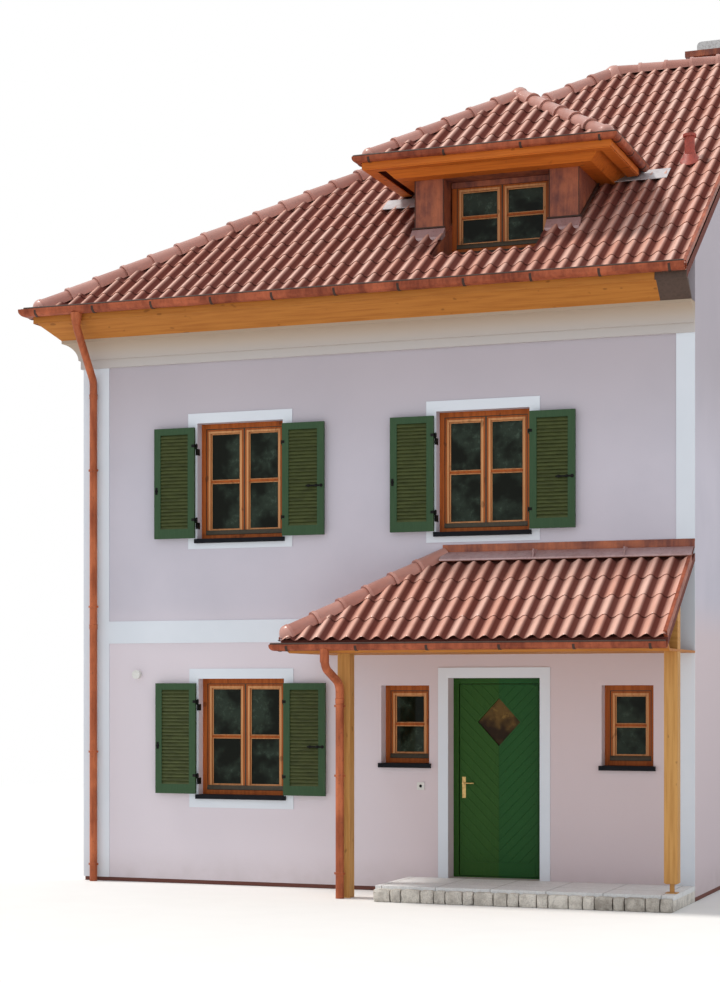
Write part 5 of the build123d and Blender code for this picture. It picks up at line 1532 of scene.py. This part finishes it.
@dataclass
class DoorBoards:
    """The door's boards, laid in a standing V on both sides of the middle seam.

    Attributes:
        left: The leaf's left edge.
        right: Its right edge.
        foot: Where the boards start, above the weather board.
        top: Where they end.
        face: The y of the leaf's front.
        width: Width of one board with its groove.
        groove: Width of a groove.
        slant: How steeply the boards fall towards the seam, in degrees.
        thick: How far they stand out.
        ease: How much of a board's edges is taken off.
        pane_z: The height of the diamond pane's middle.
        pane: Half the width and half the height of what the boards leave out for it.
    """

    left: float = 0.966
    right: float = 1.852
    foot: float = 0.337
    top: float = 2.293
    face: float = -4.954
    width: float = 0.082
    groove: float = 0.005
    slant: float = 45.5
    thick: float = 0.004
    ease: float = 0.003
    pane_z: float = 1.885
    pane: tuple[float, float] = (0.275, 0.2975)

    def board(self, side: int) -> bpy.types.Mesh:
        """Returns one slanting board with eased edges."""
        half = (self.width - self.groove) / 2
        shoulder, flat = self.thick - self.ease / 2, half - self.ease
        section = [(-half, 0.0), (-half, shoulder), (-flat, self.thick),
                   (flat, self.thick), (half, shoulder), (half, 0.0)]
        shaper = Shaper()
        shaper.strip([[Vector((x, y, z)) for y, z in section] for x in (-0.6, 0.6)])
        mesh = shaper.mesh("board")
        mesh.transform(Matrix.Rotation(math.radians(-side * self.slant), 4, "Z"))
        return mesh

    def build(self) -> None:
        """Lays the boards on both halves of the leaf."""
        middle = (self.left + self.right) / 2
        step = self.width / math.cos(math.radians(self.slant))
        wide, tall = self.pane
        diamond = [(middle - wide, self.pane_z), (middle, self.pane_z - tall),
                   (middle + wide, self.pane_z), (middle, self.pane_z + tall)]
        halves = []
        for side, x0, x1 in ((1, self.left, middle - 0.002), (-1, middle + 0.002, self.right)):
            boards = row_of("boards", self.board(side), DOOR_GREEN, 34, (0.0, step, 0.0), seed=2)
            boards.transform(Matrix.Translation(((x0 + x1) / 2, self.foot - 1.0, 0.0)))
            outline = [(x0, self.foot), (x1, self.foot), (x1, self.top), (x0, self.top)]
            trimmed(boards, outline, [diamond])
            halves.append(boards)
        mesh = joined("door_boards", halves)
        mesh.transform(basis((0.0, self.face, 0.0), Vector((1, 0, 0)), Vector((0, 0, 1))))
        put("door_boards", mesh, DOOR_GREEN, body="front_door", crease=0.0)


@dataclass
class GutterRun:
    """The straps and the rolled rim of one gutter.

    Attributes:
        path: Plan corners of the gutter's middle line.
        rim: Height of its rim.
        radius: Its outer radius.
        every: Distance between straps.
        proud: How far a strap stands out.
        side: Height of its straight sides.
        roll: Radius of the rolled rim.
        end: How far the first and the last strap are from a corner.
    """

    path: list[tuple[float, float]]
    rim: float
    radius: float
    every: float = 0.78
    proud: float = 0.006
    side: float = 0.016
    roll: float = 0.013
    end: float = 0.15

    def strap(self) -> bpy.types.Mesh:
        """Returns one strap, with the gutter's middle line along x."""
        rows = []
        for x, outer in ((-0.014, False), (-0.014, True), (0.014, True), (0.014, False)):
            row = []
            for a in (math.pi * i / 12 for i in range(13)):
                shell = self.radius + (self.proud * math.sin(a) if outer else -0.004)
                row.append(Vector((x, shell * math.cos(a), -self.side - shell * math.sin(a))))
            rows.append(row)
        shaper = Shaper()
        shaper.strip(rows)
        return shaper.mesh("strap")

    def corners(self) -> list[Point]:
        """Returns the corners of the rim, outside the path."""
        points = []
        for i, (x, y) in enumerate(self.path):
            out = Vector((0, 0, 0))
            for a, b in ((i - 1, i), (i, i + 1)):
                if 0 <= a and b < len(self.path):
                    way = Vector(self.path[b]) - Vector(self.path[a])
                    out += Vector((way.y, -way.x, 0)).normalized()
            points.append(tuple(Vector((x, y, self.rim + 0.006)) + out * (self.radius - self.roll)))
        return points

    def build(self) -> bpy.types.Mesh:
        """Returns the straps and the rim along the path."""
        parts = []
        for (ax, ay), (bx, by) in zip(self.path, self.path[1:]):
            start, end = Vector((ax, ay, self.rim)), Vector((bx, by, self.rim))
            reach = (end - start).length - 2 * self.end
            count = max(1, round(reach / self.every))
            run = row_of("straps", self.strap(), RIM_COPPER, count + 1, (reach / count, 0.0, 0.0))
            way = (end - start).normalized()
            run.transform(basis(start + way * self.end, way, Vector((0, 0, 1)).cross(way)))
            parts.append(run)
        line = line_through("rim_line", self.corners())
        parts.append(PIPE.grow("rim", line, RIM_COPPER, Radius=self.roll, Bend=0.014, Bend_Steps=2, Sides=8))
        return joined("gutter_fittings", parts)


@dataclass
class SheetWork:
    """Folded copper on the roof: verges, flashings, seams and the outlets of the gutters."""

    def verges(self) -> bpy.types.Mesh:
        """Returns the folded strips along the party wall."""
        cos, sin = math.cos(PITCH), math.sin(PITCH)
        section = [(0.0, 0.0), (0.0, 0.074), (0.004, 0.078), (0.036, 0.078), (0.04, 0.072), (0.04, 0.0)]
        parts = []
        for start, along, up, reach, side in (
            ((RIGHT, SOUTH, EAVE_Z), (1, 0, 0), (0, cos, sin), NORTH / cos, -1),
            ((RIGHT, NORTH, EAVE_Z), (-1, 0, 0), (0, -cos, sin), NORTH / cos, 1),
            ((RIGHT, PORCH_FRONT, PORCH_EAVE_Z), (1, 0, 0), (0, cos, sin), (PORCH_REACH - 0.15) / cos, -1),
        ):
            shaper = Shaper()
            rows = [[Vector((side * w, v, h)) for w, h in section] for v in (0.0, reach)]
            shaper.strip(rows, closed=True, ends=True)
            mesh = shaper.mesh("verge", outward=True)
            mesh.transform(basis(start, Vector(along), Vector(up)))
            parts.append(mesh)
        return joined("verges", parts)

    def collar(
        self,
        middle: tuple[float, float],
        half: tuple[float, float],
        rows: list[tuple[float, float]],
        corners: int,
    ) -> bpy.types.Mesh:
        """Returns a sheet collar round what comes through the roof.

        Args:
            middle: Its middle in plan.
            half: Half its size on x and y.
            rows: How far out and how high above the roof each row is.
            corners: 4 for a box, more for a pipe.

        Returns:
            The collar.
        """
        made = []
        for out, height in rows:
            ring = []
            for i in range(corners):
                a = 2 * math.pi * (i + 0.5) / corners
                across, deep = math.cos(a), math.sin(a)
                if corners == 4:
                    across, deep = math.copysign(1.0, across), math.copysign(1.0, deep)
                x, y = middle[0] + (half[0] + out) * across, middle[1] + (half[1] + out) * deep
                ring.append(Vector((x, y, slope_z(y, height))))
            made.append(ring)
        shaper = Shaper()
        shaper.strip(made, closed=True)
        return shaper.mesh("collar")

    def dormer_feet(self) -> bpy.types.Mesh:
        """Returns the pale sheets in front of the feet of the dormer's piers."""
        back, nose = -4.385, -4.50
        section = [
            (back, slope_z(back, -0.01)), (back, slope_z(back, 0.085)), (back - 0.02, slope_z(back, 0.089)),
            (nose, slope_z(nose, 0.05)), (nose, slope_z(nose, 0.01)),
        ]
        shaper = Shaper()
        for sides in ((0.205, 0.60), (1.80, 2.195)):
            shaper.strip([[Vector((x, y, z)) for y, z in section] for x in sides], closed=True, ends=True)
        return shaper.mesh("dormer_feet", outward=True)

    def on_slope(
        self,
        shaper: Shaper,
        sides: tuple[float, float],
        ends: tuple[float, float],
        heights: tuple[float, float],
    ) -> None:
        """Adds a flat bar or sheet that lies along the front slope.

        Args:
            shaper: What it is added to.
            sides: Its left and right x.
            ends: Its lower and upper y.
            heights: Its underside and its top above the slope.
        """
        low, high = heights
        corners = [(ends[0], low), (ends[0], high), (ends[1], high), (ends[1], low)]
        rows = [[Vector((x, y, slope_z(y, h))) for y, h in corners] for x in sides]
        shaper.strip(rows, closed=True, ends=True)

    def sheets(self) -> bpy.types.Mesh:
        """Returns the pale sheets on the tiles under the ends of the dormer's gutter."""
        shaper = Shaper()
        self.on_slope(shaper, (-0.42, 0.20), (-3.70, -3.47), (0.070, 0.078))
        self.on_slope(shaper, (2.22, 2.97), (-3.50, -3.26), (0.070, 0.078))
        return shaper.mesh("sheets", outward=True)

    def dormer_lines(self) -> bpy.types.Mesh:
        """Returns the dark strips of painted shadow at the feet of the piers, and the dark flashings up the
        cheeks and under the window.
        """
        shaper = Shaper()
        # Dark strips at the piers' feet: painted shadow under the piers' sheets.
        for x0, x1 in ((0.20, 0.60), (1.80, 2.20)):
            shaper.block((x0, -4.402, 7.528), (x1, -4.379, 7.546), 0.002)
        for x in (0.208, 2.172):
            self.on_slope(shaper, (x, x + 0.02), (-4.39, -3.1), (0.07, 0.105))
        for x in (0.233, 0.574, 1.826, 2.167):
            shaper.block((x - 0.005, -4.386, 7.55), (x + 0.005, -4.3795, 8.085), 0.001)
        shaper.block((0.60, -4.20, 7.232), (1.80, -4.1305, 7.272), 0.003)
        return shaper.mesh("dormer_lines", outward=True)

    def apron(self) -> bpy.types.Mesh:
        """Returns the light strip that laps from the porch's flashing onto its tiles."""
        section = [(-5.158, 3.757), (-5.20, 3.752), (-5.296, 3.690),
                   (-5.318, 3.672), (-5.322, 3.655), (-5.30, 3.652)]
        shaper = Shaper()
        shaper.strip([[Vector((x, y, z)) for y, z in section] for x in (0.83, 3.622)])
        for x in (1.9, 2.9):
            shaper.block((x - 0.005, -5.325, 3.66), (x + 0.005, -5.155, 3.765), 0.002)
        return shaper.mesh("apron")

    def outlets(self) -> bpy.types.Mesh:
        """Returns the funnels under the gutters."""
        shaper = Shaper()
        for x, y, z, wide in ((-3.468, -5.6503, 6.586, 0.066), (-0.025, -6.5703, 2.657, 0.0495)):
            rise = [(0.012, wide), (0.0, wide), (-0.05, 0.062), (-0.11, 0.050), (-0.125, 0.050), (-0.13, 0.046)]
            shaper.tube([Vector((x, y, z + h)) for h, _ in rise], [min(r, wide) for _, r in rise], 20)
        return shaper.mesh("outlets", outward=True)

    def lintel(self) -> bpy.types.Mesh:
        """Returns the clad lintel over the dormer's window."""
        shaper = Shaper()
        shaper.block((0.60, -4.156, 8.024), (1.80, -4.1305, 8.088), 0.003)
        return shaper.mesh("lintel")

    def build(self) -> None:
        """Makes the sheet work."""
        at_chimney = [(0.12, 0.06), (0.11, 0.078), (0.012, 0.085), (0.008, 0.25), (0.0, 0.255)]
        at_vent = [(0.055, 0.055), (0.045, 0.078), (0.018, 0.10), (0.008, 0.15), (0.0, 0.155)]
        chimney = self.collar((2.645, 1.55), (0.38, 0.25), at_chimney, 4)
        vent = self.collar((3.145, -3.05), (0.06, 0.06), at_vent, 24)
        put("roof_verges", self.verges(), GUTTER_COPPER)
        put("chimney_collar", chimney, CLADDING)
        put("vent_collar", vent, POT)
        put("dormer_feet", self.dormer_feet(), FLASHING)
        put("dormer_lintel", self.lintel(), CLADDING)
        put("roof_sheets", self.sheets(), LEAD)
        put("dormer_lines", self.dormer_lines(), RIM_COPPER)
        put("porch_apron", self.apron(), FLASHING)
        put("gutter_outlets", self.outlets(), PIPE_COPPER)


@dataclass
class Gutters:
    """The straps and rims of the three gutters."""

    def build(self) -> None:
        """Makes them."""
        west, south, north = WEST - MAIN_TROUGH, SOUTH - MAIN_TROUGH, NORTH + MAIN_TROUGH
        end = RIGHT - 0.01
        porch_w, porch_s = PORCH_X - SMALL_TROUGH, PORCH_FRONT - SMALL_TROUGH
        dormer_w, dormer_e = DORMER_W - SMALL_TROUGH, DORMER_E + SMALL_TROUGH
        dormer_s, dormer_n = DORMER_FRONT - SMALL_TROUGH, -3.36
        runs = [
            GutterRun([(west, south), (end, south)], 6.670, MAIN_TROUGH_R),
            GutterRun([(end, north), (west, north), (west, south)], 6.670, MAIN_TROUGH_R),
            GutterRun([(porch_w, FRONT - 0.02), (porch_w, porch_s), (end, porch_s)], 2.720, SMALL_TROUGH_R),
            GutterRun([(dormer_w, dormer_n), (dormer_w, dormer_s), (dormer_e, dormer_s), (dormer_e, dormer_n)],
                      8.287, SMALL_TROUGH_R),
        ]
        fittings = joined("gutter_fittings", [run.build() for run in runs])
        put("gutter_fittings", fittings, RIM_COPPER)


@dataclass
class EaveTrims:
    """Boards in front of the roofs' edges, under the gutters.

    Attributes:
        thick: Thickness of a board.
        main: Lower and upper edge of the main roof's boards.
        dormer: Lower and upper edge of the dormer's boards.
        soffit: Width of the dormer's boards underneath.
        party: Length of the plates at the party wall.
    """

    thick: float = 0.011
    main: tuple[float, float] = (6.515, 6.612)
    dormer: tuple[float, float] = (8.157, 8.232)
    soffit: float = 0.1235
    party: float = 0.34

    def main_boards(self) -> bpy.types.Mesh:
        """Returns the boards on the front, the side and the back of the main roof."""
        t, east, (low, high) = self.thick, RIGHT - self.party, self.main
        shaper = Shaper()
        shaper.block((WEST - t, SOUTH - t, low), (east, SOUTH - 0.0005, high), 0.002)
        shaper.block((WEST - t, SOUTH, low), (WEST - 0.0005, NORTH, high), 0.002)
        shaper.block((WEST - t, NORTH + 0.0005, low), (east, NORTH + t, high), 0.002)
        return shaper.mesh("main_boards")

    def dormer_boards(self) -> bpy.types.Mesh:
        """Returns the boards round the dormer's eaves and the ones underneath."""
        t, south, north, (low, high) = self.thick, DORMER_FRONT, -3.5, self.dormer
        shaper = Shaper()
        shaper.block((DORMER_W - t, south - t, low), (DORMER_E + t, south - 0.0005, high), 0.002)
        shaper.block((DORMER_W - t, south, low), (DORMER_W - 0.0005, north, high), 0.002)
        shaper.block((DORMER_E + 0.0005, south, low), (DORMER_E + t, north, high), 0.002)
        low, high, inner = low - 0.011, low + 0.0005, south + self.soffit
        under = Shaper()
        under.block((DORMER_W, south, low), (DORMER_E, inner, high), 0.001)
        for x in (DORMER_W, DORMER_E - self.soffit):
            under.block((x, inner, low), (x + self.soffit, north, high), 0.001)
        return joined("dormer_trims", [shaper.mesh("boards"), under.mesh("under")])

    def party_plates(self) -> bpy.types.Mesh:
        """Returns the dark plates on the roof's edges at the party wall."""
        low, high = self.main
        shaper = Shaper()
        for near in (SOUTH - self.thick, NORTH):
            start = (RIGHT - self.party + 0.001, near, low)
            shaper.block(start, (RIGHT - 0.001, near + self.thick, high), 0.002)
        return shaper.mesh("party_trims")

    def build(self) -> None:
        """Makes the boards of the main roof and the dormer."""
        put("eave_trims", self.main_boards(), GOLD_WOOD)
        put("dormer_trims", self.dormer_boards(), DORMER_WOOD)
        put("party_trims", self.party_plates(), EAVE_PLATE)


@dataclass
class Terrace:
    """The rough granite setts along the terrace's edge, and the bed behind them.

    Attributes:
        left: The terrace's left end.
        front: The y of the setts' face.
        plate: The y of the plate's front edge.
        under: The height of the plate's underside.
        back: The y where the left edge's setts start.
        lengths: Lengths of the blocks in one group.
        height: Height of the front setts.
        joint: Width of a joint.
    """

    left: float = 0.428
    front: float = -6.36
    plate: float = -6.25
    under: float = 0.115
    back: float = -5.36
    lengths: tuple[float, ...] = (0.19, 0.12, 0.215, 0.15, 0.1243)
    height: float = 0.140
    joint: float = 0.012

    def group(self, height: float) -> bpy.types.Mesh:
        """Returns five rough blocks of that height in a row along x, facing minus y."""
        depth = self.plate - self.front
        shaper = Shaper()
        start = 0.0
        for number, length in enumerate(self.lengths):
            work = bmesh.new()
            size = (length - self.joint, depth, height)
            middle = (start + length / 2, depth / 2, height / 2)
            place = Matrix.Translation(middle) @ Matrix.Diagonal((*size, 1.0))
            bmesh.ops.create_cube(work, size=1.0, matrix=place)
            bmesh.ops.subdivide_edges(work, edges=work.edges, cuts=4, use_grid_fill=True)
            for vertex in work.verts:
                p = vertex.co.copy()
                across = abs((p.x - start) / length - 0.5)
                upward = abs(p.z / height - 0.5)
                rough = noise.noise(Vector((p.x * 22, p.z * 26, number * 3.7)))
                fine = noise.noise(Vector((p.x * 70, p.z * 70, number * 1.3 + p.y * 40)))
                if p.y < depth / 2:
                    worn = max(0.0, across - 0.3) * 0.09 + max(0.0, upward - 0.3) * 0.07
                    vertex.co.y += 0.018 + 0.017 * rough + 0.008 * fine + worn
                if p.z > height * 0.8:
                    vertex.co.z -= 0.003 + 0.004 * abs(fine) + max(0.0, across - 0.3) * 0.05
                vertex.co.x += 0.004 * noise.noise(Vector((p.z * 25, p.y * 25, number * 2.1)))
            mesh = bpy.data.meshes.new("sett")
            work.to_mesh(mesh)
            work.free()
            shaper.work.from_mesh(mesh)
            start += length
        return shaper.mesh("setts")

    def build(self) -> None:
        """Sets the front and the left edge on their bed."""
        total = sum(self.lengths)
        bed = Shaper()
        start = (self.left + 0.06, self.plate + 0.001, 0.0)
        bed.block(start, (RIGHT - 0.001, FRONT - 0.001, self.under), 0.002)
        parts = [bed.mesh("bed")]
        for start, way, count, height in (
            ((self.left, self.front, 0.0), Vector((1, 0, 0)), 4, self.height),
            ((self.left, self.back, 0.0), Vector((0, -1, 0)), 1, self.under),
        ):
            row = row_of("setts", self.group(height), GRANITE, count, (total, 0.0, 0.0), seed=9)
            row.transform(basis(start, way, Vector((0, 0, 1)).cross(way)))
            parts.append(row)
        setts = joined("granite_setts", parts)
        put("granite_setts", setts, GRANITE, stands_for=["terrace_kerb"], crease=50.0)


@dataclass
class FixedLouvres:
    """Frames and slats on the fixed shutters of the side and the back.

    Attributes:
        stile: Width of a stile.
        top: Height of the top rail.
        foot: Height of the bottom rail.
        slats: Number of slats.
        proud: How far the frame stands out from the leaf.
    """

    stile: float = 0.080
    top: float = 0.076
    foot: float = 0.110
    slats: int = 27
    proud: float = 0.009

    def leaf(self, width: float, height: float) -> bpy.types.Mesh:
        """Returns the frame and the slats of one leaf, from its lower left corner."""
        shaper = Shaper()
        for x in (0.0, width - self.stile):
            shaper.block((x, 0.0, 0.0), (x + self.stile, height, self.proud), 0.002)
        for y0, y1 in ((0.0, self.foot), (height - self.top, height)):
            shaper.block((self.stile, y0, 0.0), (width - self.stile, y1, self.proud), 0.002)
        pitch = (height - self.top - self.foot) / self.slats
        slat = Shaper()
        section = [(0.002, 0.0), (0.002, 0.006), (0.007, 0.0075), (pitch - 0.006, 0.0)]
        slat.strip([[Vector((x, y, z)) for y, z in section] for x in (self.stile, width - self.stile)])
        rows = row_of("slats", slat.mesh("slat"), SHUTTER_GREEN, self.slats, (0.0, pitch, 0.0))
        rows.transform(Matrix.Translation((0.0, self.foot, 0.0)))
        return joined("louvre", [shaper.mesh("frame"), rows])

    def build(self) -> None:
        """Makes every fixed leaf."""
        parts = []
        for low, high in islands("side_and_back_shutters"):
            face = Face.of(low, high)
            mesh = self.leaf(face.width, face.height)
            mesh.transform(face.matrix())
            parts.append(mesh)
        put("fixed_louvres", joined("fixed_louvres", parts), SHUTTER_GREEN, crease=0.0)


@dataclass
class Studio:
    """The camera of the photograph's view, the light and the pale floor.

    Attributes:
        camera_at: Where the camera stands.
        turn: How far it is turned to the left, in degrees.
        lens: Its focal length in millimetres.
        shift: How far its view is raised.
        key: Strength of the key light.
        way: The way that the key light shines.
        soft: The angle that the key light fills, in degrees.
        fill: Strength of the even light.
    """

    camera_at: Point = (7.895, -26.683, 2.2275)
    turn: float = 20.5
    lens: float = 75.15
    shift: float = 0.2037
    key: float = 2.35
    way: Point = (0.5, 0.06, -0.88)
    soft: float = 9.0
    fill: float = 0.80

    def camera(self) -> None:
        """Sets the camera."""
        data = bpy.data.cameras.new("camera")
        data.lens, data.sensor_width, data.shift_y = self.lens, 36.0, self.shift
        data.clip_end = 500.0
        eye = bpy.data.objects.new("camera", data)
        eye.location = self.camera_at
        eye.rotation_euler = (math.pi / 2, 0.0, math.radians(self.turn))
        bpy.context.scene.collection.objects.link(eye)
        bpy.context.scene.camera = eye

    def light(self) -> None:
        """Sets one broad key light and the even light."""
        data = bpy.data.lights.new("key", "SUN")
        data.energy, data.angle = self.key, math.radians(self.soft)
        data.color = (1.0, 0.965, 0.91)
        lamp = bpy.data.objects.new("key", data)
        lamp.rotation_mode = "QUATERNION"
        lamp.rotation_quaternion = Vector(self.way).to_track_quat("-Z", "Y")
        bpy.context.scene.collection.objects.link(lamp)
        world = bpy.data.worlds.new("even_light")
        world.use_nodes = True
        world.node_tree.nodes.clear()
        book = NodeBook(world.node_tree)
        seen = self.seen(book)
        light = book.node("ShaderNodeBackground", {}, {"Color": (0.90, 0.94, 1.0, 1.0), "Strength": self.fill})
        plain = book.node("ShaderNodeBackground", {}, {"Color": (1.0, 1.0, 1.0, 1.0), "Strength": 1.0})
        both = book.node("ShaderNodeMixShader", {}, {0: seen, 1: light, 2: plain})
        book.node("ShaderNodeOutputWorld", {}, {"Surface": both})
        bpy.context.scene.world = world

    def seen(self, book: NodeBook) -> Wire:
        """Returns 1 for rays of the camera, of gloss and through glass."""
        kinds = ["Is Camera Ray", "Is Glossy Ray", "Is Transmission Ray"]
        camera, gloss, through = (book.node("ShaderNodeLightPath", out=kind) for kind in kinds)
        return camera + gloss + through > 0.5

    def floor(self) -> None:
        """Lays the pale floor, which keeps the house's shadow and fades to white."""
        shaper = Shaper()
        turns = [a * math.pi / 32 for a in range(64)]
        rings = [
            [Vector((r * math.cos(a), r * math.sin(a), -0.002)) for a in turns] for r in (1.0, 20.0, 240.0)
        ]
        shaper.strip(rings, closed=True)
        shaper.work.faces.new([shaper.work.verts.new(p) for p in rings[0]])
        mesh = shaper.mesh("floor")
        paint = Paint("pale_floor")
        distance = paint.node("ShaderNodeVectorMath", {"operation": "LENGTH"}, {0: paint.place}, 1)
        far = distance.ramp(11.0, 24.0)
        matt = paint.node("ShaderNodeBsdfPrincipled", {}, {
            "Base Color": paint.mix((0.80, 0.79, 0.77), (0.76, 0.75, 0.73), paint.noise(2.0, 5.0)),
            "Roughness": 0.9,
        })
        white = paint.node("ShaderNodeEmission", {}, {"Color": (1, 1, 1, 1), "Strength": 1.0})
        both = paint.node("ShaderNodeMixShader", {}, {0: far * self.seen(paint), 1: matt, 2: white})
        paint.node("ShaderNodeOutputMaterial", {}, {"Surface": both})
        mesh.materials.append(paint.material)
        ground = bpy.data.objects.new("floor", mesh)
        bpy.context.scene.collection.objects.link(ground)

    def build(self) -> None:
        """Sets the studio."""
        self.camera()
        self.light()
        self.floor()
        bpy.context.scene.view_settings.view_transform = "Standard"


def dress_nodes() -> None:
    """Gives each CAD node its finish."""
    finishes = {name: finish for finish, names in DRESSED.items() for name in names}
    for name, node in frame["nodes"].items():
        for slot in node.material_slots:
            slot.material = finishes.get(name, CONCRETE).material()


def main() -> None:
    """Builds the pieces in order and reports each."""
    logging.basicConfig(level=logging.INFO, format="%(name)s %(message)s")
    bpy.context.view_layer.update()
    Studio().build()
    dress_nodes()
    Roof().build()
    pipes = [
        Downpipe(
            [(-3.468, -5.6503, 6.62), (-3.468, -5.6503, 6.444), (-3.468, -5.23, 5.86), (-3.468, -5.23, 0.0)],
            clamps=[0.197, 1.517, 3.217, 4.817], wall=SURROUND_Y, sockets=[3.0, 5.70],
        ),
        Downpipe(
            [(-0.025, -6.57, 2.68), (-0.025, -6.57, 2.479), (-0.025, -6.122, 2.304), (-0.025, -6.122, 0.0)],
            clamps=[0.267, 1.317, 2.067], wall=-6.052, sockets=[2.14],
        ),
    ]
    copper = joined("pipes", [pipe.build() for pipe in pipes])
    put("copper_downpipes", copper, PIPE_COPPER, stands_for=["downpipes"])
    Joinery().build()
    for name in frame["bodies"]:
        if name.startswith("shutter_"):
            ShutterHardware(name).build()
    PintlePlates().build()
    Bell().build()
    DoorBoards().build()
    Gutters().build()
    EaveTrims().build()
    SheetWork().build()
    Terrace().build()
    FixedLouvres().build()
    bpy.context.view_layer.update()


if __name__ == "__main__":
    main()
